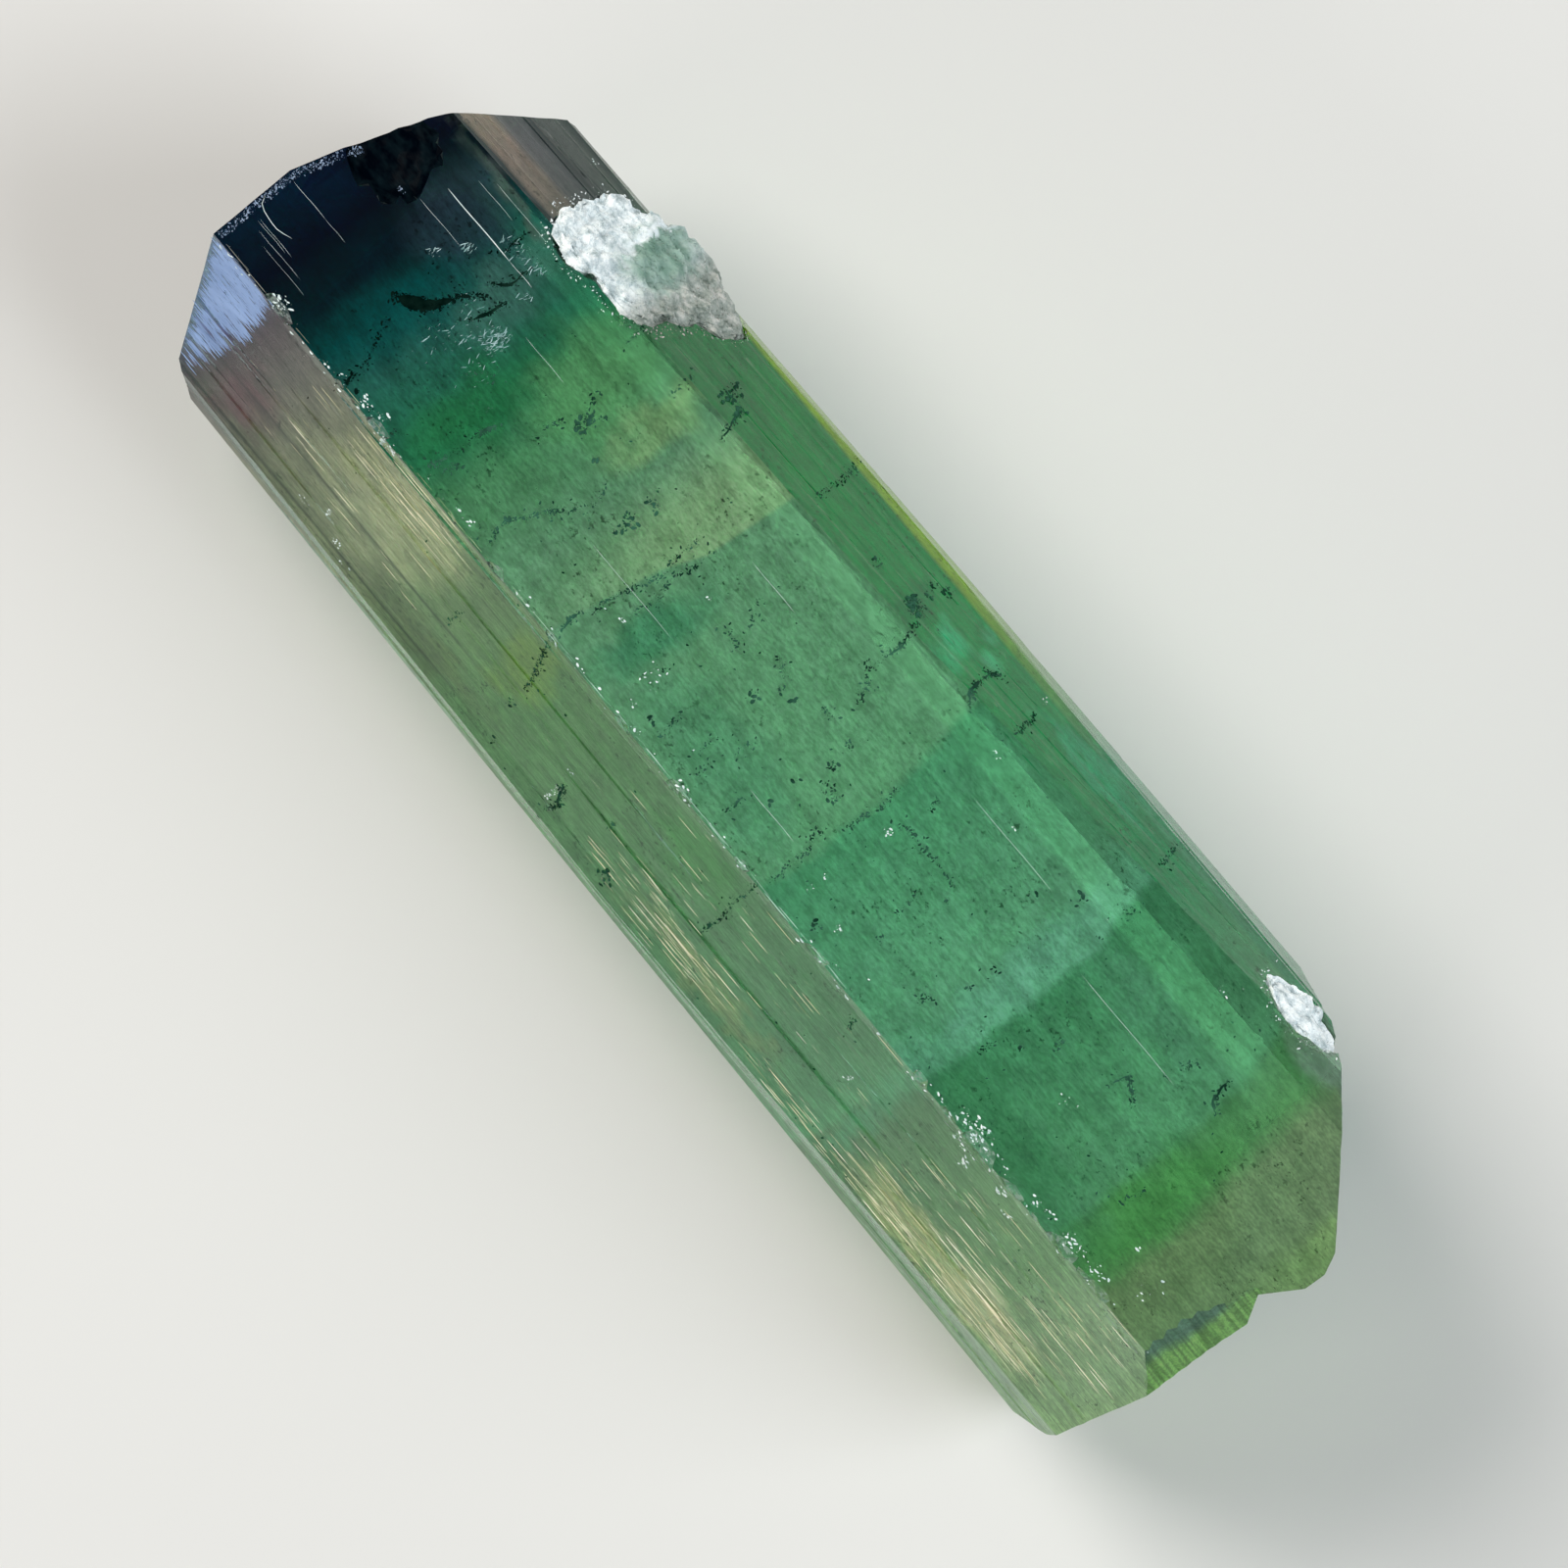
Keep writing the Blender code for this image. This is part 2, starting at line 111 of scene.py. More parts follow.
class Finish:
    """A material in the making. Its places are in millimetres, read from the piece's own mesh. A value is a
    plain number or colour, or the socket that gives it."""

    def __init__(self, name):
        self.material = bpy.data.materials.new(name)
        self.material.use_nodes = True
        self.tree = self.material.node_tree
        self.shader = self.tree.nodes["Principled BSDF"]
        coordinates = self.tree.nodes.new("ShaderNodeTexCoord")
        self.place = self.scaled(coordinates.outputs["Object"], (1 / MM, 1 / MM, 1 / MM))
        split = self.tree.nodes.new("ShaderNodeSeparateXYZ")
        self.tree.links.new(self.place, split.inputs[0])
        self.x, self.y, self.z = split.outputs

    def plug(self, value, socket):
        """Feeds a socket with another socket, or with a plain number or colour."""
        if isinstance(value, bpy.types.NodeSocket):
            self.tree.links.new(value, socket)
        elif isinstance(value, tuple) and len(value) == 3 and socket.type == "RGBA":
            socket.default_value = (*value, 1.0)
        else:
            socket.default_value = value

    def set(self, name, value):
        self.plug(value, self.shader.inputs[name])

    def scaled(self, place, factors, shift=(0.0, 0.0, 0.0)):
        """The place times the factors, then shifted."""
        node = self.tree.nodes.new("ShaderNodeVectorMath")
        node.operation = "MULTIPLY_ADD"
        node.inputs[1].default_value = factors
        node.inputs[2].default_value = shift
        self.tree.links.new(place, node.inputs[0])
        return node.outputs[0]

    def math(self, operation, first, second=0.0, third=0.0):
        node = self.tree.nodes.new("ShaderNodeMath")
        node.operation = operation
        for value, socket in zip((first, second, third), node.inputs):
            self.plug(value, socket)
        return node.outputs[0]

    def rise(self, value, low, high, to_low=0.0, to_high=1.0, ease="SMOOTHSTEP"):
        """Goes from to_low to to_high as the value goes from low to high."""
        node = self.tree.nodes.new("ShaderNodeMapRange")
        node.interpolation_type = ease
        given = {"Value": value, "From Min": low, "From Max": high, "To Min": to_low, "To Max": to_high}
        for name, value in given.items():
            self.plug(value, node.inputs[name])
        return node.outputs["Result"]

    def noise(self, lumps, detail=2.0, roughness=0.55, shift=0.0):
        """Noise from 0 to 1, with its own number of lumps per millimetre along each axis."""
        node = self.tree.nodes.new("ShaderNodeTexNoise")
        node.inputs["Scale"].default_value = 1.0
        node.inputs["Detail"].default_value = detail
        node.inputs["Roughness"].default_value = roughness
        self.tree.links.new(self.scaled(self.place, lumps, (shift, shift, shift)), node.inputs["Vector"])
        return node.outputs["Fac"]

    def ramp(self, value, stops):
        """A colour by place, from stops of (place, colour)."""
        low, high = stops[0][0], stops[-1][0]
        node = self.tree.nodes.new("ShaderNodeValToRGB")
        self.plug(self.rise(value, low, high, ease="LINEAR"), node.inputs["Fac"])
        elements = node.color_ramp.elements
        while len(elements) < len(stops):
            elements.new(0.5)
        for element, (where, colour) in zip(elements, stops):
            element.position = (where - low) / (high - low)
            element.color = (*colour, 1.0)
        return node.outputs["Color"]

    def mix(self, amount, first, second, blend="MIX"):
        node = self.tree.nodes.new("ShaderNodeMix")
        node.data_type = "RGBA"
        node.blend_type = blend
        for value, socket in ((amount, node.inputs[0]), (first, node.inputs[6]), (second, node.inputs[7])):
            self.plug(value, socket)
        return node.outputs[2]

    def dim(self, colour, factor):
        """The colour times a number from a socket."""
        return self.mix(1.0, colour, factor, "MULTIPLY")

    def attribute(self, name, output="Fac"):
        node = self.tree.nodes.new("ShaderNodeAttribute")
        node.attribute_name = name
        return node.outputs[output]

    def frayed(self, lumps, reach):
        """The place, moved about by noise over up to half the reach in millimetres."""
        node = self.tree.nodes.new("ShaderNodeTexNoise")
        node.inputs["Scale"].default_value = lumps
        node.inputs["Detail"].default_value = 2.0
        node.inputs["Roughness"].default_value = 0.66
        self.tree.links.new(self.place, node.inputs["Vector"])
        offset = self.scaled(node.outputs["Color"], (reach,) * 3, (-reach / 2,) * 3)
        moved = self.tree.nodes.new("ShaderNodeVectorMath")
        self.tree.links.new(offset, moved.inputs[0])
        self.tree.links.new(self.place, moved.inputs[1])
        return moved.outputs[0]

    def oval(self, place, x, y, half_x, half_y, strength):
        """The strength inside an oval seen from above, easing to 0 at its edge."""
        centred = self.scaled(place, (1 / half_x, 1 / half_y, 0.0), (-x / half_x, -y / half_y, 0.0))
        away = self.tree.nodes.new("ShaderNodeVectorMath")
        away.operation = "LENGTH"
        self.tree.links.new(centred, away.inputs[0])
        return self.rise(away.outputs["Value"], 0.35, 1.15, strength, 0.0)

    def bump(self, height, depth):
        """Relief of that many millimetres where the height goes from 0 to 1."""
        node = self.tree.nodes.new("ShaderNodeBump")
        node.inputs["Distance"].default_value = depth * MM
        self.plug(height, node.inputs["Height"])
        self.tree.links.new(node.outputs["Normal"], self.shader.inputs["Normal"])


def keep_in_box(mesh):
    """Draws in any point that stands outside the solid's own box."""
    low, high = (Vector(corner) for corner in cad_box)
    for vert in mesh.vertices:
        vert.co = [min(max(value, least), most) for value, least, most in zip(vert.co, low, high)]


def finished(name, form, material, sharp=None):
    """Turns millimetre bmesh data into a linked object in metres."""
    bmesh.ops.triangulate(form, faces=form.faces)
    bmesh.ops.scale(form, vec=Vector((1, 1, 1)) * MM, verts=form.verts)
    mesh = bpy.data.meshes.new(name)
    form.to_mesh(mesh)
    form.free()
    mesh.materials.append(material)
    if sharp is not None:
        mesh.shade_smooth()
        mesh.set_sharp_from_angle(angle=sharp)
    piece = bpy.data.objects.new(name, mesh)
    bpy.context.scene.collection.objects.link(piece)
    return piece


table_paint = Finish("pale_table")
table_paint.set("Base Color", table_paint.ramp(table_paint.noise((0.02, 0.02, 0.02)), (
    (0.0, (0.70, 0.69, 0.67)), (1.0, (0.76, 0.75, 0.73)),
)))
table_paint.set("Roughness", 0.9)
table_form = bmesh.new()
bmesh.ops.create_grid(table_form, size=TABLE_REACH, matrix=Matrix.Translation((0.0, 0.0, -TABLE_GAP)))
table = finished("table", table_form, table_paint.material)

# ---------------------------------------------------------------------------------------------------------
# The tourmaline: one crystal of clear to cloudy green borosilicate, grown along X. Its sides are scored
# lengthwise by striae that are finer than the solid's, so each side is cut into narrow strips here, and
# their edges are sunk by uneven amounts.
# ---------------------------------------------------------------------------------------------------------
STATION_SPACING = 1.0
HALF_LENGTH = 20.0
AXIS = Vector((0.0, 0.0, 5.3))
# Each side: bearing of its normal in degrees from +Z towards +Y, its distance from the axis at the pale end,
# the middle and the dark end, the share of the solid's steps that is kept, and the mean spacing and the depth
# of its fine striae.
SIDES = (
    (0, (5.60, 5.25, 4.90), 0.02, 0.20, 0.0025), (60, (5.33, 5.16, 4.99), 0.12, 0.09, 0.012),
    (80, (6.09, 6.11, 5.79), 0.6, 0.15, 0.015), (120, (7.40, 6.54, 6.36), 0.7, 0.20, 0.030),
    (180, (5.3, 5.3, 5.3), 1.0, 0.40, 0.012), (240, (5.80, 5.87, 5.15), 0.7, 0.22, 0.030),
    (276, (6.86, 6.57, 6.22), 0.6, 0.16, 0.015), (300, (7.70, 6.50, 5.80), 0.15, 0.11, 0.014),
    (330, (7.27, 6.72, 6.12), 0.05, 0.13, 0.005),
)
SIDE_SPREAD = math.radians(7)
MOST_STEP = 0.21
SHARP_EDGE = math.radians(4)
# The front face, between the ridge on its left and the rounded edge on its right.
FRONT_HEIGHT = 10.55
FRONT_FALL = 0.0175
FRONT_EDGE = -4.0
RIDGE_Y = 2.93
RIDGE_REACH = 0.42
# The shell-shaped break at the dark end, which starts just below the front face.
SCOOP_START = 17.3
SCOOP_Y = -2.0
SCOOP_HALF_WIDTH = 1.8
SCOOP_TOP, SCOOP_BOTTOM = 0.04, 2.5


def merged_copy(node):
    """A CAD node's loose triangles as one joined mesh, in millimetres."""
    form = bmesh.new()
    form.from_mesh(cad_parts[node].data)
    bmesh.ops.remove_doubles(form, verts=form.verts, dist=1e-7)
    bmesh.ops.scale(form, vec=Vector((1, 1, 1)) / MM, verts=form.verts)
    form.normal_update()
    return form


def side_facing(side):
    """The normal of one of the crystal's sides."""
    bearing = math.radians(side[0])
    return Vector((0.0, math.sin(bearing), math.cos(bearing)))


def sunk_below(side, place):
    """How far a place lies inside the plane of one of the crystal's sides."""
    pale, middle, dark = side[1]
    distance = middle + (pale - middle if place.x < 0.0 else dark - middle) * abs(place.x) / HALF_LENGTH
    return distance - (place - AXIS).dot(side_facing(side))


def nearest_side(place):
    """The side whose plane a place lies closest to."""
    return min(SIDES, key=lambda side: sunk_below(side, place))


def soften_steps(form):
    """Fills the solid's lengthwise steps, all but the share of their depth that each side keeps."""
    for vert in form.verts:
        side = nearest_side(vert.co)
        sunk = sunk_below(side, vert.co)
        if 0.0 < sunk < MOST_STEP:
            vert.co += side_facing(side) * sunk * (1.0 - side[2])
    form.normal_update()


def score(form, side, rng):
    """Cuts one side along X at uneven spacings, and sinks each cut by its own drifting depth."""
    normal, spacing, depth = side_facing(side), side[3], side[4]
    across = normal.cross(Vector((1.0, 0.0, 0.0)))
    faces = [face for face in form.faces if face.normal.angle(normal, math.pi) < SIDE_SPREAD
             and nearest_side(face.calc_center_median()) is side]
    places = [vert.co.dot(across) for face in faces for vert in face.verts]
    where, last = min(places) + spacing, max(places) - 0.4 * spacing
    sunk = []
    while where < last:
        faces = [face for face in faces if face.is_valid]
        geometry = list(dict.fromkeys(item for face in faces for item in (*face.verts, *face.edges, face)))
        cut = bmesh.ops.bisect_plane(form, geom=geometry, dist=1e-4, plane_co=across * where, plane_no=across)
        faces = [item for item in cut["geom"] if isinstance(item, bmesh.types.BMFace)]
        strength = depth * rng.random() ** 2.2
        phase = rng.uniform(0.0, 900.0)
        for vert in (item for item in cut["geom_cut"] if isinstance(item, bmesh.types.BMVert)):
            drift = 0.6 + 0.8 * noise.noise(Vector((vert.co.x * 0.16, phase, 0.0)))
            sunk.append((vert, strength * min(max(drift, 0.0), 1.0)))
        where += spacing * rng.uniform(0.45, 1.6)
    for vert, sink in sunk:
        if vert.is_valid:
            vert.co -= normal * sink


def front_height(x):
    """The height of the front face, which falls slightly towards the dark end."""
    return FRONT_HEIGHT - FRONT_FALL * x


def in_scoop(place):
    """Whether a place is in the shell-shaped break at the dark end."""
    within = place.x > SCOOP_START and abs(place.y - SCOOP_Y) < SCOOP_HALF_WIDTH
    return within and SCOOP_TOP < front_height(place.x) - place.z < SCOOP_BOTTOM


def zone_of(middle, facing):
    """Which run of colours a face shows, by where it lies and how it faces."""
    below_front = front_height(middle.x) - middle.z
    if in_scoop(middle) or abs(facing.x) > 0.3:
        return "end"
    if (below_front < 0.9 and facing.z > 0.8) or (below_front < 0.2 and FRONT_EDGE < middle.y < RIDGE_Y):
        return "front"
    if middle.z < 5.0 and facing.z < 0.2:
        return None
    return "left" if middle.y > 0.0 else "right"


SIDE_CODES = {"front": 1.0, "left": 2.0, "right": 3.0, "end": 4.0}


def mark_faces(form):
    """Notes each face's run of colours, the bevel of the front, which is dimmed as painted shade, and the
    bruised chips of the ridge.
    """
    layers = {name: form.faces.layers.float.new(name) for name in ("side", "shaded_bevel", "bruise")}
    form.normal_update()
    for face in form.faces:
        middle = face.calc_center_median()
        zone = zone_of(middle, face.normal)
        face[layers["side"]] = SIDE_CODES.get(zone, 0.0)
        if zone == "front" and face.normal.z < 0.93 and middle.y < -2.0:
            face[layers["shaded_bevel"]] = 1.0
        at_ridge = abs(middle.y - RIDGE_Y) < RIDGE_REACH and middle.z > front_height(middle.x) - 0.6
        face[layers["bruise"]] = 1.0 if at_ridge and 0.62 < face.normal.z < 0.97 else 0.0


rng = random.Random(40)
crystal_form = merged_copy("crystal")
low_x, high_x = cad_box[0][0] / MM, cad_box[1][0] / MM
for step in range(1, int((high_x - low_x) / STATION_SPACING) + 1):
    everything = crystal_form.verts[:] + crystal_form.edges[:] + crystal_form.faces[:]
    plane = Vector((low_x + step * STATION_SPACING, 0.0, 0.0))
    bmesh.ops.bisect_plane(crystal_form, geom=everything, dist=1e-4, plane_co=plane, plane_no=(1.0, 0.0, 0.0))
crystal_form.normal_update()
soften_steps(crystal_form)
for side in SIDES:
    score(crystal_form, side, rng)
surface = BVHTree.FromBMesh(crystal_form)

# Colour zones along the crystal, from the pale end to the dark end, each by its place along X.
FRONT_ZONES = (
    # The pale olive tip, then a band of leaf green.
    (-19.6, (0.35, 0.50, 0.25)), (-16.9, (0.35, 0.50, 0.25)), (-16.2, (0.20, 0.55, 0.20)),
    (-15.0, (0.20, 0.55, 0.25)),
    # The bottle green block, which deepens up to the cross crack.
    (-14.7, (0.25, 0.70, 0.40)), (-9.6, (0.15, 0.55, 0.30)),
    # The clear block between the two cross cracks.
    (-9.4, (0.35, 0.95, 0.65)), (-8.0, (0.30, 0.80, 0.50)), (-3.0, (0.20, 0.70, 0.40)),
    # The long, even middle.
    (-2.7, (0.35, 0.85, 0.50)), (7.6, (0.35, 0.70, 0.45)),
    # Green, teal and then nearly black, towards the dark end.
    (10.2, (0.20, 0.60, 0.30)), (11.5, (0.05, 0.40, 0.20)), (14.1, (0.05, 0.30, 0.25)),
    (15.4, (0.0, 0.15, 0.15)),
    (16.6, (0.0, 0.02, 0.04)), (18.0, (0.0, 0.0, 0.02)), (19.4, (0.0, 0.01, 0.06)),
)
# The left face: the stone's own greens, with painted sheen and reflection towards the dark end.
LEFT_ZONES_AND_REFLECTIONS = (
    # The pale end, duller towards the cross crack.
    (-19.6, (0.55, 0.75, 0.40)), (-17.0, (0.60, 0.80, 0.45)), (-15.6, (0.40, 0.65, 0.30)),
    (-9.6, (0.20, 0.40, 0.20)),
    # The long, even green middle.
    (-9.3, (0.25, 0.70, 0.35)), (-8.0, (0.20, 0.50, 0.25)), (4.9, (0.20, 0.45, 0.15)),
    (8.6, (0.40, 0.55, 0.25)),
    # A painted cream sheen, then a painted reflection that falls through mauve to blue at the dark end.
    (10.2, (1.0, 1.0, 0.60)), (11.5, (1.0, 1.0, 0.60)), (12.8, (0.70, 0.70, 0.40)),
    (15.4, (0.40, 0.35, 0.30)),
    (16.7, (0.20, 0.10, 0.15)), (17.3, (0.20, 0.15, 0.30)), (18.0, (0.40, 0.55, 1.0)),
)
RIGHT_ZONES = (
    (-20.0, (0.50, 0.70, 0.48)), (-15.2, (0.50, 0.70, 0.48)), (-13.5, (0.16, 0.50, 0.26)),
    (-10.0, (0.01, 0.42, 0.15)), (-2.0, (0.0, 0.46, 0.10)), (6.0, (0.0, 0.40, 0.06)),
    (11.0, (0.0, 0.28, 0.05)), (12.8, (0.10, 0.16, 0.14)), (20.0, (0.20, 0.20, 0.20)),
)
UNDER_ZONES = (
    (-20.0, (0.66, 0.80, 0.60)), (-9.0, (0.58, 0.80, 0.62)), (9.0, (0.58, 0.80, 0.56)),
    (13.5, (0.38, 0.62, 0.50)), (16.5, (0.05, 0.08, 0.10)), (20.0, (0.02, 0.03, 0.045)),
)
END_ZONES = (
    (-20.0, (0.52, 0.90, 0.26)), (-19.2, (0.60, 0.92, 0.32)), (-18.98, (0.24, 0.34, 0.32)),
    (-18.5, (0.28, 0.40, 0.36)), (-9.0, (0.5, 0.7, 0.45)), (14.0, (0.1, 0.12, 0.14)),
    (17.0, (0.0, 0.0, 0.002)), (18.5, (0.0, 0.001, 0.004)), (20.0, (0.004, 0.010, 0.020)),
)
# Painted reflections in stripes along the right face by the dark end, by height.
RIGHT_BAND_REFLECTIONS = (
    (6.2, (0.16, 0.18, 0.16)), (6.55, (0.03, 0.05, 0.05)), (6.8, (0.20, 0.22, 0.20)),
    (7.45, (0.20, 0.21, 0.20)), (7.7, (0.0, 0.01, 0.015)), (7.9, (0.02, 0.03, 0.04)),
    (8.1, (0.20, 0.19, 0.22)), (8.8, (0.24, 0.20, 0.22)), (9.1, (0.80, 0.55, 0.42)),
    (9.85, (0.72, 0.48, 0.36)), (10.05, (0.0, 0.01, 0.015)), (10.3, (0.02, 0.03, 0.04)),
    (10.6, (0.10, 0.12, 0.14)),
)
# The bright rim below the right face: where it starts, and its run of colours.
RIM_START = -6.12
RIM_ZONES = (
    (-14.0, (0.10, 0.42, 0.24)), (-6.0, (0.06, 0.48, 0.24)), (-2.5, (0.30, 0.62, 0.10)),
    (0.0, (0.56, 0.80, 0.03)), (7.0, (0.62, 0.85, 0.03)), (10.5, (0.50, 0.75, 0.05)),
    (12.5, (0.16, 0.26, 0.18)),
)
# Clouds of other colours in each side: middle in X and Y, half length, half width, strength and colour.
FRONT_CLOUDS = (
    # A pale patch along the slanted edge by the pale end: matt whitish stone under a painted grey sheen.
    (-16.0, -5.5, 2.2, 0.55, 0.9, (0.45, 0.60, 0.50)),
    (16.2, -2.4, 1.7, 1.9, 0.8, (0.05, 0.10, 0.15)), (15.8, -3.75, 2.8, 0.24, 0.8, (0.20, 0.25, 0.25)),
    (15.2, 0.5, 1.1, 2.4, 0.7, (0.0, 0.20, 0.20)), (13.8, -1.9, 1.1, 2.0, 0.7, (0.15, 0.40, 0.35)),
    (12.1, 0.7, 1.2, 2.5, 0.6, (0.05, 0.45, 0.15)), (10.5, -2.2, 1.9, 2.2, 0.7, (0.30, 0.85, 0.35)),
    (8.6, -2.9, 0.7, 2.2, 0.6, (0.65, 1.0, 0.45)), (4.4, 0.8, 0.75, 2.4, 0.7, (0.10, 0.50, 0.30)),
    (-8.75, -0.5, 0.6, 5.0, 0.6, (0.40, 1.0, 0.75)), (-12.1, 2.3, 4.5, 1.1, 0.7, (0.10, 0.40, 0.20)),
    (-15.7, 0.2, 1.1, 3.2, 0.6, (0.15, 0.60, 0.15)),
    (0.6, 1.7, 3.4, 1.5, 0.4, (0.15, 0.55, 0.35)), (-11.8, -2.9, 2.6, 0.9, 0.6, (0.25, 0.70, 0.45)),
)
LEFT_CLOUDS_AND_SHEEN = (
    # The cream clouds are painted sheen and the mauve one by the dark end is a painted reflection; the greens
    # are the stone's own.
    (12.0, 5.8, 6.0, 1.0, 0.6, (0.30, 0.30, 0.15)), (8.0, 5.7, 3.2, 0.6, 0.6, (0.15, 0.20, 0.05)),
    (16.2, 5.2, 1.3, 0.9, 0.7, (0.35, 0.10, 0.15)), (10.5, 4.1, 1.9, 1.1, 0.8, (1.0, 1.0, 0.55)),
    (12.4, 3.7, 1.4, 0.5, 0.6, (1.0, 1.0, 0.50)), (5.9, 3.9, 1.0, 1.2, 0.6, (0.45, 0.65, 0.10)),
    (-1.0, 3.7, 1.9, 0.9, 0.6, (0.10, 0.50, 0.10)), (-9.0, 4.4, 0.4, 2.2, 0.6, (0.25, 0.80, 0.45)),
    (-15.0, 5.6, 2.4, 0.75, 1.0, (1.0, 1.0, 0.60)), (-12.0, 5.7, 2.4, 0.65, 0.9, (0.95, 0.95, 0.45)),
    (-3.5, 5.7, 3.4, 0.45, 0.5, (0.75, 0.70, 0.30)),
)
RIGHT_CLOUDS = (
    # The same pale patch along the slanted edge: matt whitish stone under a painted grey sheen.
    (-16.0, -5.5, 2.2, 0.7, 0.9, (0.60, 0.76, 0.66)),
    (-0.9, -5.1, 0.7, 0.5, 0.9, (0.05, 1.0, 0.45)), (-1.75, -5.75, 0.5, 0.25, 0.8, (0.10, 1.0, 0.5)),
    (-5.9, -5.85, 2.6, 0.3, 0.6, (0.05, 0.75, 0.42)), (0.5, -5.1, 0.6, 0.9, 0.5, (0.0, 0.14, 0.05)),
    (7.8, -4.9, 1.2, 0.6, 0.5, (0.0, 0.22, 0.04)),
)
# The pale veil that ends at a slanting crack: where its edge runs, as (Y, X), and its colour.
VEIL_EDGE = ((-4.5, 4.70), (-1.6, 5.00), (-0.4, 5.50), (1.3, 5.86), (2.7, 6.12))
VEIL_END = 8.0
VEIL_COLOUR = (0.66, 1.0, 0.56)
# Painted shade along the grooves of the left face: the Y of each, its half width and its darkness.
SHADED_GROOVES = ((3.01, 0.035, 0.8), (3.75, 0.03, 0.3), (4.98, 0.07, 0.75), (5.91, 0.06, 0.8), (6.06, 0.03, 0.5))
GROOVE_SHADE = tuple(
    (y + offset * half_width, (1.0 - dark * (offset == 0),) * 3)
    for y, half_width, dark in SHADED_GROOVES for offset in (-1, 0, 1)
)
WHITE_BRUISE = (0.90, 0.96, 0.95)

CLOUDS = {"front": FRONT_CLOUDS, "left": LEFT_CLOUDS_AND_SHEEN, "right": RIGHT_CLOUDS}
CLOUD_SPACING = 0.32
CLOUD_EDGE = 1.15
CLOUD_EASE = 0.8
FRAY = 0.55
FRAY_SCALES = (1.1, 2.2, 4.4)


def cover_at(place, clouds):
    """The clouds over a place: their colour times their cover, and their cover."""
    moves = (noise.noise_vector(place * scale) / scale for scale in FRAY_SCALES)
    ragged = place + sum(moves, Vector()) * FRAY
    colour = Vector((0.0, 0.0, 0.0))
    clear = 1.0
    for x, y, half_x, half_y, strength, tint in clouds:
        away = math.hypot((ragged.x - x) / half_x, (ragged.y - y) / half_y)
        if away < CLOUD_EDGE:
            inward = min((CLOUD_EDGE - away) / CLOUD_EASE, 1.0)
            share = strength * inward * inward * (3.0 - 2.0 * inward)
            colour = colour * (1.0 - share) + Vector(tint) * share
            clear *= 1.0 - share
    return (*colour, 1.0 - clear)


def paint_clouds(form):
    """Cuts the crystal across, finely enough to hold the clouds, and keeps their colour at each corner."""
    for step in range(1, int((high_x - low_x) / CLOUD_SPACING)):
        everything = form.verts[:] + form.edges[:] + form.faces[:]
        plane = Vector((low_x + step * CLOUD_SPACING, 0.0, 0.0))
        bmesh.ops.bisect_plane(form, geom=everything, dist=1e-3, plane_co=plane, plane_no=(1.0, 0.0, 0.0))
    layer = form.loops.layers.float_color.new("clouds")
    form.normal_update()
    known = {}
    for face in form.faces:
        zone = zone_of(face.calc_center_median(), face.normal)
        for loop in face.loops:
            if zone in CLOUDS and (loop.vert, zone) not in known:
                known[loop.vert, zone] = cover_at(loop.vert.co, CLOUDS[zone])
            loop[layer] = known.get((loop.vert, zone), (0.0, 0.0, 0.0, 0.0))


paint_clouds(crystal_form)
mark_faces(crystal_form)

# The clear tourmaline. CLEAR_SHARE of the light passes, and the cloudy rest shows the zones' colours.
CLEAR_SHARE = 0.78
REFRACTIVE_INDEX = 1.63
GLEAM = 0.3
GLEAM_COLOUR = (0.50, 0.70, 0.70)
ABSORPTION_COLOUR = (0.25, 0.79, 0.47)
ABSORPTION_PER_METRE = 72.0

glass = Finish("tourmaline")

# The zones cross the crystal at a slant: their X sways with slow lumps and bows across the front face.
sway = glass.math("MULTIPLY", glass.math("SUBTRACT", glass.noise((0.45, 0.55, 0.55), 4.0, 0.6), 0.5), 0.9)
bow = glass.math("MULTIPLY", glass.math("POWER", glass.math("ADD", glass.y, 0.6), 2.0), -0.022)
zone_x = glass.math("ADD", glass.math("ADD", glass.x, sway), bow)
zones = {"front": FRONT_ZONES, "left": LEFT_ZONES_AND_REFLECTIONS, "right": RIGHT_ZONES, "end": END_ZONES}
shades = {side: glass.ramp(zone_x, stops) for side, stops in zones.items()}

# The veil in the front, from the slanting crack to where it thins out.
edge_stops = [(y, (x / 10,) * 3) for y, x in VEIL_EDGE]
veil_edge = glass.rise(glass.ramp(glass.y, edge_stops), 0.0, 1.0, 0.0, 10.0, "LINEAR")
past = glass.math("SUBTRACT", glass.x, veil_edge)
veil = glass.math("MULTIPLY", glass.rise(past, 0.0, 0.15), glass.rise(glass.x, VEIL_END, 6.0))
veil = glass.math("MULTIPLY", veil, glass.rise(glass.y, 2.6, -1.6, 0.25, 0.85))
shades["front"] = glass.mix(veil, shades["front"], VEIL_COLOUR)

# The bright rim below the right face, and the painted reflections striped along it by the dark end.
at_rim = glass.rise(glass.y, RIM_START, RIM_START - 0.12)
right = glass.mix(at_rim, shades["right"], glass.ramp(glass.x, RIM_ZONES))
band_reflections = glass.ramp(glass.math("MULTIPLY_ADD", sway, 0.45, glass.z), RIGHT_BAND_REFLECTIONS)
band_reflections = glass.dim(band_reflections, glass.rise(glass.x, 14.0, 17.5, 0.5, 1.1))
shades["right"] = glass.mix(glass.rise(zone_x, 12.4, 14.6), right, band_reflections)

# The ribs of the ends.
ribs = glass.rise(glass.noise((0.4, 9.0, 0.4), 1.0), 0.35, 0.65, 0.55, 1.2)
shades["end"] = glass.dim(shades["end"], ribs)

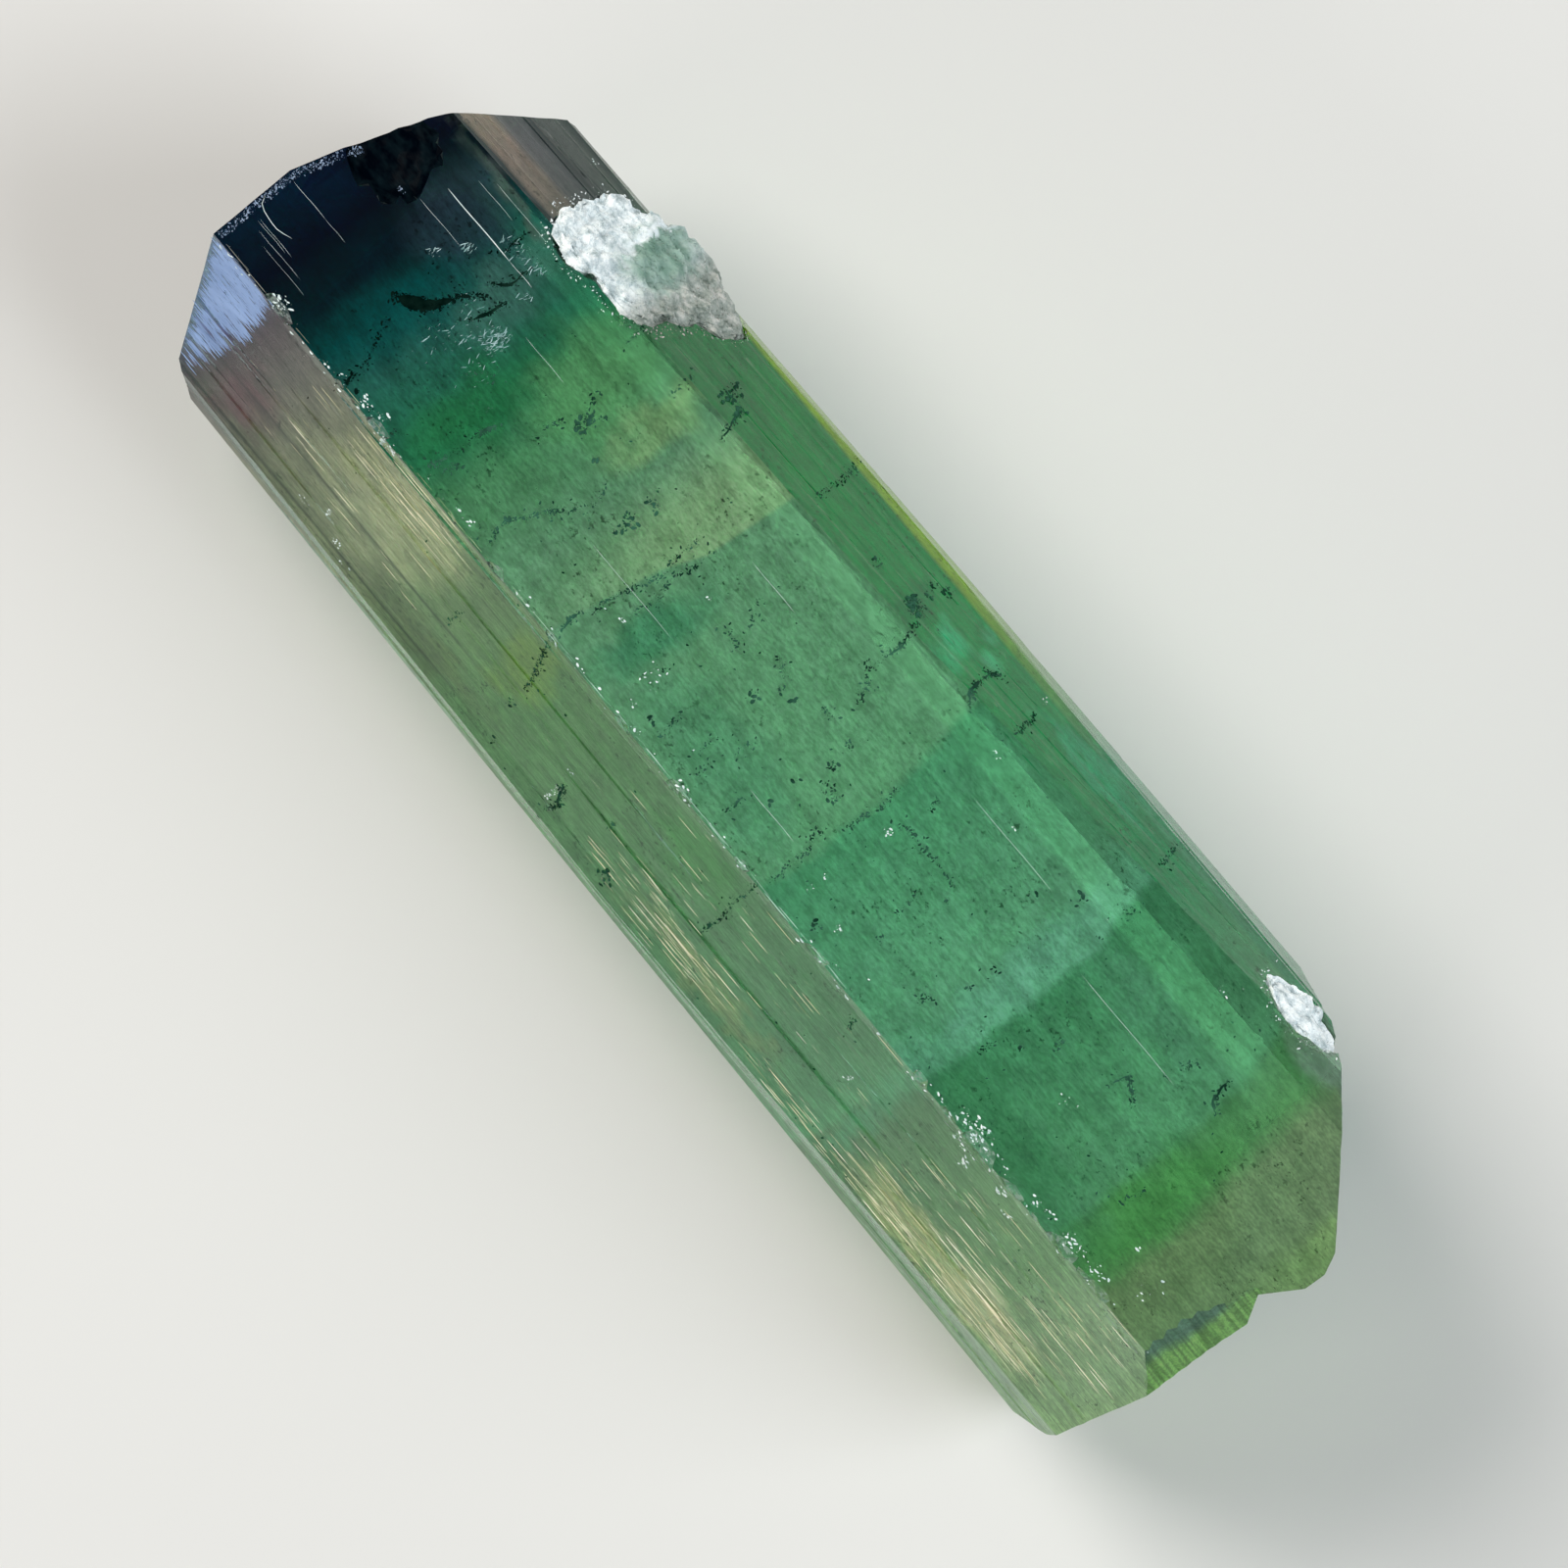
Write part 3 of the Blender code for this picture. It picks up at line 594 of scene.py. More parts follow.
# Each face shows its own side's run of colours, then the clouds, then painted shade along the grooves.
code = glass.attribute("side")
on_side = {side: glass.math("COMPARE", code, SIDE_CODES[side], 0.5) for side in zones}
body = glass.ramp(zone_x, UNDER_ZONES)
for side, shade in shades.items():
    body = glass.mix(on_side[side], body, shade)
clear = glass.math("SUBTRACT", 1.0, glass.attribute("clouds", "Alpha"))
body = glass.mix(1.0, glass.dim(body, clear), glass.attribute("clouds", "Color"), "ADD")
groove_shade_mask = glass.math("MULTIPLY", on_side["left"], glass.rise(glass.x, 5.0, 9.0, 0.15, 1.0))
body = glass.mix(groove_shade_mask, body, glass.dim(body, glass.ramp(glass.y, GROOVE_SHADE)))

# Lumps, fine grain and lengthwise silk lighten and darken it, and patches of pepper speckle it.
mottle = glass.rise(glass.noise((1.2, 1.9, 1.9), 4.0, 0.68), 0.33, 0.67, 0.79, 1.16)
grain = glass.rise(glass.noise((6.0, 14.0, 14.0), 1.0, 0.7, shift=2.0), 0.3, 0.7, 0.80, 1.16)
silky = glass.rise(glass.noise((0.05, 6.0, 6.0), 3.0, 0.75), 0.35, 0.65, 0.88, 1.10)
brushed = glass.rise(glass.noise((0.5, 26.0, 26.0), 1.0, 0.6, shift=9.0), 0.3, 0.7, 0.72, 1.25)
silky = glass.math("MULTIPLY", silky, glass.mix(on_side["left"], (1.0, 1.0, 1.0), brushed))
fine_lumps = glass.noise((5.0, 6.5, 6.5), 2.0, 0.8, shift=3.0)
pepper = glass.rise(fine_lumps, 0.33, 0.42, 0.25, 1.0)
pepper_reach = glass.rise(sway, 0.05, -0.12)
body = glass.dim(body, glass.math("MULTIPLY", glass.math("MULTIPLY", mottle, grain), silky))
# The tilted bevel of the front is darkened: painted shade.
body = glass.dim(body, glass.rise(glass.attribute("shaded_bevel"), 0.0, 1.0, 1.0, 0.78))
body = glass.mix(pepper_reach, body, glass.dim(body, pepper))
bruised = glass.attribute("bruise")
bruise = glass.rise(fine_lumps, 0.47, 0.62, 0.05, 0.75)
body = glass.mix(glass.math("MULTIPLY", bruised, bruise), body, WHITE_BRUISE)
glass.set("Base Color", body)

# The front is the best polished. The lower sides, the bruises, the pale end and its ledge are duller.
polish = glass.rise(glass.z, 1.0, 6.0, 0.42, 0.20)
polish = glass.math("MULTIPLY_ADD", on_side["front"], -0.06, polish)
polish = glass.math("MULTIPLY_ADD", bruised, 0.35, polish)
matt_end = glass.math("MULTIPLY", on_side["end"], glass.rise(glass.x, 10.0, 0.0, 0.32, 0.45))
polish = glass.math("ADD", polish, matt_end)
polish = glass.math("ADD", polish, glass.rise(glass.x, -14.0, -17.0, 0.0, 0.18))
glass.set("Roughness", polish)
glass.set("IOR", REFRACTIVE_INDEX)
glass.set("Specular IOR Level", GLEAM)
glass.set("Specular Tint", GLEAM_COLOUR)
glass.set("Transmission Weight", CLEAR_SHARE)
absorb = glass.tree.nodes.new("ShaderNodeVolumeAbsorption")
absorb.inputs["Color"].default_value = (*ABSORPTION_COLOUR, 1.0)
absorb.inputs["Density"].default_value = ABSORPTION_PER_METRE
glass.tree.links.new(absorb.outputs["Volume"], glass.tree.nodes["Material Output"].inputs["Volume"])

# The break is in the blackest tourmaline, which lets nothing through.
broken_glass = Finish("broken_tourmaline")
broken_glass.set("Base Color", broken_glass.ramp(broken_glass.noise((2.0, 3.0, 3.0)), (
    (0.4, (0.0, 0.001, 0.003)), (0.65, (0.003, 0.008, 0.011)),
)))
broken_glass.set("Roughness", 0.38)
broken_glass.set("IOR", REFRACTIVE_INDEX)
broken_glass.set("Specular IOR Level", 0.01)
broken_glass.bump(broken_glass.noise((2.0, 5.0, 2.0)), 0.03)

crystal = finished("tourmaline", crystal_form, glass.material, SHARP_EDGE)
keep_in_box(crystal.data)
crystal.data.materials.append(broken_glass.material)
for polygon in crystal.data.polygons:
    if in_scoop(polygon.center / MM):
        polygon.material_index = 1
for edge in crystal.data.edges:
    if all(in_scoop(crystal.data.vertices[index].co / MM) for index in edge.vertices):
        edge.use_edge_sharp = False
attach(crystal, "root")
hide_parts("crystal")

# ---------------------------------------------------------------------------------------------------------
# Healed cracks and dark specks: thin walls of dark grains and tiny bubbles that cross the crystal and reach
# its skin, seen edge on from above as ragged lines, with clots of the same grains. They grew as it cracked.
# ---------------------------------------------------------------------------------------------------------
# Each crack: its width where it is widest, and its route over the crystal in X and Y.
CRACKS = (
    (.24, ((15.64, 0.35), (15.12, 0.1), (14.78, -0.39), (14.56, -0.95), (14.07, -1.47))),
    (.42, ((15.6, 0.36), (15.25, 0.12), (14.95, -0.1), (14.78, -0.34))),
    (.30, ((15.2, 0.2), (14.9, -0.02), (14.7, -0.5))),
    (.12, ((14.26, -1.78), (13.96, -2.16), (13.9, -2.87))),
    (.14, ((13.64, -1.82), (13.7, -1.37), (13.88, -0.76))), (.12, ((14.73, -3.29), (14.67, -2.66))),
    (.08, ((15.26, 0.93), (15.12, 1.38), (14.86, 1.82), (14.65, 2.39))),
    (.16, ((14.78, 2.58), (14.67, 2.87))), (.14, ((11.27, 0.5), (11.46, 1.11))),
    (.07, ((11.4, 1.4), (11.53, 2.16), (11.65, 2.68))),
    (.06, ((11.09, 1.88), (11.27, 2.28), (11.51, 2.44))),
    (.07, (
        (8.14, -0.59), (8.03, -0.17), (8.33, 0.5), (8.64, 0.82), (8.9, 1.38), (9.17, 1.87), (9.16, 2.33),
        (9.05, 2.63),
    )),
    (.14, ((8.53, 0.59), (8.69, 0.97))), (.09, ((10.25, -2.09), (9.94, -1.45), (9.83, -1.04))),
    (.09, ((9.57, -1.83), (9.8, -1.47))), (.09, ((10.23, -0.95), (10.42, -0.45))),
    (.05, ((12.48, -0.26), (12.81, 0.19))), (.08, ((10.89, -4.41), (10.75, -3.61))),
    (.05, ((8.97, -4.32), (8.98, -3.63))), (.12, ((7.44, -4.69), (7.24, -3.87))),
    (.05, ((8.16, 4.48), (8.15, 4.86))),
    (.06, ((5.53, -1.64), (5.58, -0.95), (5.44, -0.26), (5.66, 0.52), (5.89, 1.21), (5.82, 1.68))),
    (.05, ((5.09, -1.75), (5.04, -1.12), (5.23, -0.52), (5.04, 0.17), (5.14, 0.8))),
    (.14, ((6.08, 1.88), (6.13, 2.25), (6.01, 2.66))),
    (.10, ((6.08, 2.94), (5.87, 3.41), (5.61, 3.89), (5.47, 4.34))),
    (.12, ((0.13, -4.65), (-0.03, -4.06), (0.01, -3.55))),
    (.05, ((0.01, -3.55), (0.04, -2.97), (-0.23, -2.68), (-0.49, -2.2))),
    (.16, ((-2.36, -5.53), (-2.12, -5.36), (-2.08, -4.93), (-2.2, -4.58), (-2.36, -4.41))),
    (.08, ((-2.52, 0.72), (-2.46, 1.12), (-2.65, 1.38), (-2.6, 1.99), (-2.62, 2.61))),
    (.09, ((-2.91, -1.47), (-3, -0.95), (-2.9, -0.42), (-2.84, 0.17))),
    (.05, ((-2.43, 3.03), (-2.43, 3.63), (-2.57, 4.24), (-2.46, 4.95))),
    (.06, ((-3.8, -2.16), (-3.87, -1.8))), (.07, ((-3.73, -5.59), (-3.82, -4.91))),
    (.05, ((3.29, -0.74), (2.59, -0.66))), (.10, ((1.82, -1.3), (1.31, -1.12))),
    (.05, ((0.05, -1.4), (-0.37, -1.34))), (.09, ((-1.08, -1.3), (-1.32, -1.26))),
    (.04, ((-3.71, -1.04), (-4.5, -1.06), (-5.82, -1.02))), (.05, ((3.29, -1.9), (2.92, -1.28))),
    (.05, ((0.54, 0.64), (0.56, 1.23))), (.06, ((1.25, 1.28), (1.18, 1.92))),
    (.08, ((2.27, 1.64), (2.22, 2.44))), (.05, ((0.76, 1.95), (0.8, 2.37))),
    (.05, ((-0.45, 1.8), (-0.44, 2.33))), (.07, ((4.38, -6.14), (4.35, -5.71), (4.44, -4.84))),
    (.08, ((-8.84, -6.14), (-8.91, -5.64))), (.10, ((-9.32, -4.22), (-9.38, -3.95))),
    (.12, ((-14.47, -3.28), (-14.58, -2.68), (-14.93, -2.47))),
    (.12, ((-12.51, -0.84), (-12.64, -1.34), (-13.01, -1.14), (-13.39, -0.8))),
    (.08, ((-13.45, -2.89), (-13.49, -2.57))), (.07, ((-7.56, 1.51), (-7.76, 1.3))),
    (.07, ((-5.4, 0.18), (-5.41, 0.61))), (.08, ((-10.78, -0.62), (-10.89, -0.31))),
    (.09, ((-9.67, 0.86), (-9.68, 1.28))), (.04, ((-8.07, -0.37), (-8.4, -0.36))),
    (.06, ((-15.22, 0.28), (-15.1, 0.99))), (.06, ((-6.9, 3.35), (-6.94, 3.58))),
    (.14, ((2.85, 5.26), (2.54, 5.71), (2.66, 6.0))),
)
# Each clot: its middle in X and Y, its radius, and its grains per mm2.
CLOTS = (
    (9.85, -1.34, .22, 110), (10.32, -0.13, .09, 60), (7.17, -1.34, .10, 120), (6.93, -1.34, .09, 120),
    (7.17, -0.69, .11, 120), (6.95, -0.65, .10, 120), (7.04, -0.39, .12, 120), (7.12, -0.17, .08, 110),
    (8.91, -0.97, .07, 100), (0.68, -4.97, .16, 110), (0.41, -4.93, .18, 120), (0.55, -5.45, .10, 80),
    (0.67, -5.71, .12, 60), (0.29, -5.88, .14, 60), (1.12, -0.82, .09, 110), (0.68, -0.88, .06, 110),
    (2.84, -1.56, .07, 100), (-1.35, -0.62, .13, 100), (-1.69, -0.13, .17, 60), (-2.04, -0.09, .20, 60),
    (1.42, -0.17, .16, 70), (2.07, -4.93, .12, 40), (3.49, 1.17, .07, 110), (2.67, 2.33, .10, 70),
    (-4.3, 2.49, .14, 100), (1.25, 4.97, .13, 60), (0.25, 5.97, .20, 40), (5.01, 5.92, .08, 80),
    (5.48, 4.93, .10, 60), (-1.05, 1.34, .10, 50), (-0.92, 0.43, .12, 40), (-3.86, 1.25, .05, 90),
    (-8.18, 0.39, .07, 110), (-6.05, -0.59, .06, 90), (-7.37, -2.49, .12, 50), (-8.38, -3.35, .20, 30),
    (-11.88, -1.41, .05, 90), (-13.37, -2.03, .10, 50), (-5.69, 1.4, .10, 60), (-10.3, 0.39, .06, 60),
    (7.95, -4.84, .24, 50), (7.43, -4.71, .12, 80), (10.24, -5.1, .20, 40), (11.1, 1.95, .06, 110),
    (9.2, 1.88, .07, 110), (12.87, 2.68, .10, 60), (13.74, 2.77, .10, 110), (14.26, 2.68, .09, 110),
)
SEAM_WIDTH = 0.11
SEAM_STEP = 0.05
SEAM_DEPTH = 0.25
SEAM_MARGIN = 0.018
LEAST_HALF = 0.002
PROUD = 0.004
STRAY = 0.06
HALO = 0.34
HALO_SHARE = 0.05
CLOT_SPREAD = 1.5
THICKEST_CLOT = 110
MOST_SKIN_STEP = 0.7


def skin_at(x, y):
    """The height of the crystal's upper surface over that place, and which way it faces."""
    hit, facing, _, _ = surface.ray_cast(Vector((x, y, 30.0)), Vector((0.0, 0.0, -1.0)))
    return (hit.z, facing) if hit else (None, None)


def along(start, end, spacing):
    """Places from start to end, both included, about that far apart."""
    steps = max(1, round(abs(end - start) / spacing))
    return [start + (end - start) * step / steps for step in range(steps + 1)]


def spread(value, low, high):
    """The value held between low and high."""
    return min(max(value, low), high)


def scatter_tree():
    """A tree that strews small grains over a carrier mesh, thickest where its share attribute is 1."""
    tree = bpy.data.node_groups.new("strewn_grains", "GeometryNodeTree")
    inputs = (
        ("Carrier", "NodeSocketGeometry"), ("Density", "NodeSocketFloat"), ("Smallest", "NodeSocketFloat"),
        ("Largest", "NodeSocketFloat"), ("Shape", "NodeSocketVector"), ("Lean", "NodeSocketVector"),
        ("Turn", "NodeSocketVector"), ("Seed", "NodeSocketInt"), ("Finish", "NodeSocketMaterial"),
    )
    for name, kind in inputs:
        tree.interface.new_socket(name, in_out="INPUT", socket_type=kind)
    tree.interface.new_socket("Grains", in_out="OUTPUT", socket_type="NodeSocketGeometry")

    def node(kind, **settings):
        made = tree.nodes.new(kind)
        for name, value in settings.items():
            setattr(made, name, value)
        return made

    link = tree.links.new
    given = node("NodeGroupInput").outputs
    share = node("GeometryNodeInputNamedAttribute", data_type="FLOAT")
    share.inputs["Name"].default_value = "share"
    thickness = node("ShaderNodeMath", operation="MULTIPLY")
    link(given["Density"], thickness.inputs[0])
    link(share.outputs["Attribute"], thickness.inputs[1])
    strewn = node("GeometryNodeDistributePointsOnFaces", distribute_method="RANDOM")
    link(given["Carrier"], strewn.inputs["Mesh"])
    link(thickness.outputs[0], strewn.inputs["Density"])
    link(given["Seed"], strewn.inputs["Seed"])

    chance = node("FunctionNodeRandomValue", data_type="FLOAT")
    link(given["Seed"], chance.inputs["Seed"])
    few_large = node("ShaderNodeMath", operation="POWER")
    few_large.inputs[1].default_value = 3.0
    link(chance.outputs[1], few_large.inputs[0])
    size = node("ShaderNodeMapRange")
    link(few_large.outputs[0], size.inputs["Value"])
    link(given["Smallest"], size.inputs["To Min"])
    link(given["Largest"], size.inputs["To Max"])
    scale = node("ShaderNodeVectorMath", operation="SCALE")
    link(given["Shape"], scale.inputs[0])
    link(size.outputs["Result"], scale.inputs["Scale"])

    back = node("ShaderNodeVectorMath", operation="SCALE")
    back.inputs["Scale"].default_value = -1.0
    link(given["Turn"], back.inputs[0])
    turned = node("FunctionNodeRandomValue", data_type="FLOAT_VECTOR")
    link(back.outputs[0], turned.inputs[0])
    link(given["Turn"], turned.inputs[1])
    link(given["Seed"], turned.inputs["Seed"])
    leaning = node("ShaderNodeVectorMath", operation="ADD")
    link(given["Lean"], leaning.inputs[0])
    link(turned.outputs[0], leaning.inputs[1])

    grain = node("GeometryNodeMeshIcoSphere")
    grain.inputs["Radius"].default_value = 0.5
    grain.inputs["Subdivisions"].default_value = 1
    placed = node("GeometryNodeInstanceOnPoints")
    link(strewn.outputs["Points"], placed.inputs["Points"])
    link(grain.outputs["Mesh"], placed.inputs["Instance"])
    link(leaning.outputs[0], placed.inputs["Rotation"])
    link(scale.outputs[0], placed.inputs["Scale"])
    whole = node("GeometryNodeRealizeInstances")
    link(placed.outputs["Instances"], whole.inputs["Geometry"])
    coated = node("GeometryNodeSetMaterial")
    link(whole.outputs["Geometry"], coated.inputs["Geometry"])
    link(given["Finish"], coated.inputs["Material"])
    link(coated.outputs["Geometry"], node("NodeGroupOutput").inputs["Grains"])
    return tree


strewn_grains = scatter_tree()
socket_names = {
    item.name: item.identifier for item in strewn_grains.interface.items_tree if item.in_out == "INPUT"
}


def strew(
    name, carrier, finish, density, sizes, shape=(1, 1, 1), lean=(0, 0, 0), turn=(3.14, 3.14, 3.14), seed=1,
):
    """Strews grains over a carrier in millimetres, and keeps them as one plain piece in metres."""
    mesh = bpy.data.meshes.new(name)
    carrier.to_mesh(mesh)
    carrier.free()
    holder = bpy.data.objects.new(name + "_carrier", mesh)
    bpy.context.scene.collection.objects.link(holder)
    modifier = holder.modifiers.new("strewn", "NODES")
    modifier.node_group = strewn_grains
    values = {
        "Density": float(density), "Smallest": float(sizes[0]), "Largest": float(sizes[1]), "Shape": shape,
        "Lean": lean, "Turn": turn, "Seed": seed, "Finish": finish.material,
    }
    for title, value in values.items():
        modifier[socket_names[title]] = value
    graph = bpy.context.evaluated_depsgraph_get()
    plain = bpy.data.meshes.new_from_object(holder.evaluated_get(graph))
    bpy.data.objects.remove(holder)
    plain.transform(Matrix.Scale(MM, 4))
    keep_in_box(plain)
    plain.name = name
    piece = bpy.data.objects.new(name, plain)
    bpy.context.scene.collection.objects.link(piece)
    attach(piece, "root")


def new_carrier():
    """An empty carrier and its layer for the share of grains."""
    form = bmesh.new()
    return form, form.verts.layers.float.new("share")


def add_skin(form, share_layer, corner, opposite, spacing, share_at):
    """A grid on the crystal's skin, with share_at(x, y, facing) as its share of grains at each point."""
    grid = []
    for x in along(corner[0], opposite[0], spacing):
        line = []
        for y in along(corner[1], opposite[1], spacing):
            top, facing = skin_at(x, y)
            if top is None:
                line.append(None)
                continue
            vert = form.verts.new((x, y, top))
            vert[share_layer] = spread(share_at(x, y, facing), 0.0, 1.0)
            line.append(vert)
        grid.append(line)
    for first, second in zip(grid, grid[1:]):
        for row in range(len(first) - 1):
            corners = (first[row], second[row], second[row + 1], first[row + 1])
            if None in corners:
                continue
            heights = [vert.co.z for vert in corners]
            covered = any(vert[share_layer] > 0.0 for vert in corners)
            if covered and max(heights) - min(heights) < MOST_SKIN_STEP:
                form.faces.new(corners)


def in_ovals(ovals, x, y):
    """The strongest share at that place among ovals, each with its middle, half length, half width, share."""
    found = 0.0
    for middle_x, middle_y, half_x, half_y, share in ovals:
        away = math.hypot((x - middle_x) / half_x, (y - middle_y) / half_y)
        found = max(found, share * spread(1.5 - 1.5 * away, 0.0, 1.0))
    return found


def add_seam(form, route, width, rng):
    """The wedge of dark grains in a healed crack: ragged and open at the skin, and closing with depth."""
    phase = rng.uniform(0.0, 500.0)
    places = []
    for start, end in zip(route, route[1:]):
        steps = max(2, round(math.dist(start, end) / SEAM_STEP))
        places += [Vector(start).lerp(Vector(end), step / steps) for step in range(steps)]
    places.append(Vector(route[-1]))
    rings = []
    for index, place in enumerate(places):
        ahead = places[min(index + 1, len(places) - 1)] - places[max(index - 1, 0)]
        across = Vector((-ahead.y, ahead.x)).normalized()
        jag = 0.09 * noise.noise(Vector((place.x * 3.1, place.y * 3.1, phase)))
        swell = 0.55 + 1.2 * noise.noise(Vector((place.x * 2.6, place.y * 2.6, phase + 60.0)))
        taper = min(1.0, 4 * index / len(places), 4 * (len(places) - 1 - index) / len(places))
        half = max(LEAST_HALF, (0.5 * width - SEAM_MARGIN) * spread(swell, 0.0, 1.0) * taper)
        middle = place + across * jag
        top = skin_at(middle.x, middle.y)[0] or front_height(middle.x)
        ring = []
        for lip in (middle + across * half, middle - across * half):
            ring.append(form.verts.new((lip.x, lip.y, (skin_at(lip.x, lip.y)[0] or top) + PROUD)))
        ring.append(form.verts.new((middle.x, middle.y, top - SEAM_DEPTH)))
        rings.append(ring)
    for first, second in zip(rings, rings[1:]):
        for corner in range(3):
            after = (corner + 1) % 3
            form.faces.new((first[corner], first[after], second[after], second[corner]))
    form.faces.new(rings[0][::-1])
    form.faces.new(rings[-1])


dark_fleck = Finish("dark_inclusion")
fleck_black = dark_fleck.ramp(dark_fleck.noise((3.0, 3.0, 3.0)), (
    (0.35, (0.0, 0.004, 0.003)), (0.65, (0.003, 0.012, 0.009)),
))
fleck_green = dark_fleck.ramp(dark_fleck.noise((1.5, 1.5, 1.5)), (
    (0.38, (0.006, 0.030, 0.018)), (0.62, (0.035, 0.12, 0.075)),
))
by_dark_end = dark_fleck.rise(dark_fleck.x, 12.0, 14.5)
dark_fleck.set("Base Color", dark_fleck.mix(by_dark_end, fleck_green, fleck_black))
dark_fleck.set("Roughness", 0.8)
dark_fleck.set("Specular IOR Level", 0.0)

seams_form = bmesh.new()
for width, route in CRACKS:
    if width > SEAM_WIDTH:
        add_seam(seams_form, route, width, rng)
bmesh.ops.recalc_face_normals(seams_form, faces=seams_form.faces)
seams = finished("healed_cracks", seams_form, dark_fleck.material)
keep_in_box(seams.data)
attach(seams, "root")


def from_run(x, y, start, end):
    """How far a place is from the straight run between two others."""
    place, run = Vector((x, y)) - Vector(start), Vector(end) - Vector(start)
    return (place - run * spread(place.dot(run) / run.length_squared, 0.0, 1.0)).length


carrier, share_layer = new_carrier()
for width, route in CRACKS:
    for start, end in zip(route, route[1:]):
        corner = [min(pair) - HALO for pair in zip(start, end)]
        opposite = [max(pair) + HALO for pair in zip(start, end)]

        def crack_share(x, y, facing):
            broken = spread(0.75 + 1.3 * noise.noise(Vector((x * 7.0, y * 7.0, 8.0))), 0.25, 1.0)
            away = from_run(x, y, start, end)
            return max(broken * (1.0 - (away - 0.3 * width) / STRAY), HALO_SHARE * (1.0 - away / HALO))

        add_skin(carrier, share_layer, corner, opposite, 0.06, crack_share)
strew("crack_grains", carrier, dark_fleck, 620, (0.02, 0.14), (1.0, 0.5, 0.12), turn=(0.2, 0.2, 3.14), seed=3)

carrier, share_layer = new_carrier()
for x, y, radius, grains in CLOTS:
    reach = CLOT_SPREAD * radius
    clot = ((x, y, reach, reach, grains / THICKEST_CLOT),)
    add_skin(carrier, share_layer, (x - reach, y - reach), (x + reach, y + reach), 0.06, lambda x, y, facing:
             in_ovals(clot, x, y))
strew("crack_clots", carrier, dark_fleck, 300, (0.03, 0.22), (1.0, 0.6, 0.12), turn=(0.2, 0.2, 3.14), seed=4)

carrier, share_layer = new_carrier()
add_skin(carrier, share_layer, (-17.0, -6.0), (15.8, 6.2), 0.4, lambda x, y, facing:
         0.2 + 1.5 * noise.noise(Vector((x * 0.55, y * 0.8, 4.0))))
strew("dark_specks", carrier, dark_fleck, 7.0, (0.015, 0.11), (1.0, 0.55, 0.3), turn=(0.3, 0.3, 3.14), seed=9)

# ---------------------------------------------------------------------------------------------------------
# Bright flaws: cleaved flakes of the same tourmaline, white or pale blue. They are nicks in the skin, the
# bruised ridge and the bruised rim of the dark end; the flakes of the shattered patch by the dark end and the
# fine line along the ridge are painted glints.
# ---------------------------------------------------------------------------------------------------------
# Ovals of flaws, each with its middle in X and Y, half length, half width and share.
NICKS = (
    (5.19, 1.22, 0.12, 0.10, 1), (5.73, 1.37, 0.08, 0.08, 0.7), (3.32, 2.46, 0.14, 0.10, 1),
    (3.71, 2.15, 0.06, 0.06, 1), (-1.56, 2.26, 0.06, 0.12, 1), (-3.42, 1.95, 0.12, 0.20, 1),
    (-3.45, 1.42, 0.12, 0.14, 0.8), (-3.6, -0.60, 0.16, 0.14, 1), (-4.77, 2.08, 0.16, 0.12, 1),
    (-6.41, 2.33, 0.24, 0.06, 0.6), (-5.68, -3.24, 0.08, 0.08, 1), (-3.89, -4.15, 0.20, 0.12, 0.6),
    (-3.63, -6.02, 0.09, 0.09, 1), (-9.1, -3.55, 0.09, 0.10, 1), (-8.92, -2.72, 0.04, 0.04, 1),
    (-9.78, -2.26, 0.06, 0.06, 1), (-12.81, -6.3, 0.05, 0.05, 1), (12.48, 5.4, 0.14, 0.14, 1),
    (11.75, 5.76, 0.20, 0.10, 1), (11.2, 5.98, 0.30, 0.06, 0.7), (13.2, 5.7, 0.3, 0.08, 0.5),
    (3.0, 4.9, 0.16, 0.10, 0.5), (2.9, 5.6, 0.12, 0.35, 0.8), (-8.0, 4.4, 0.16, 0.14, 0.9),
    (17.4, -5.15, 0.10, 0.10, 0.5), (15.1, -6.0, 0.14, 0.12, 0.8), (4.2, -0.9, 0.4, 0.06, 0.3),
    (1.3, 1.9, 0.2, 0.1, 0.3), (3.5, 1.6, 0.5, 0.4, 0.2), (-12.1, 0.3, 0.4, 0.3, 0.15),
    (-17.9, -4.4, 0.5, 0.12, 0.5), (-12.5, -4.7, 0.3, 0.12, 0.3),
)
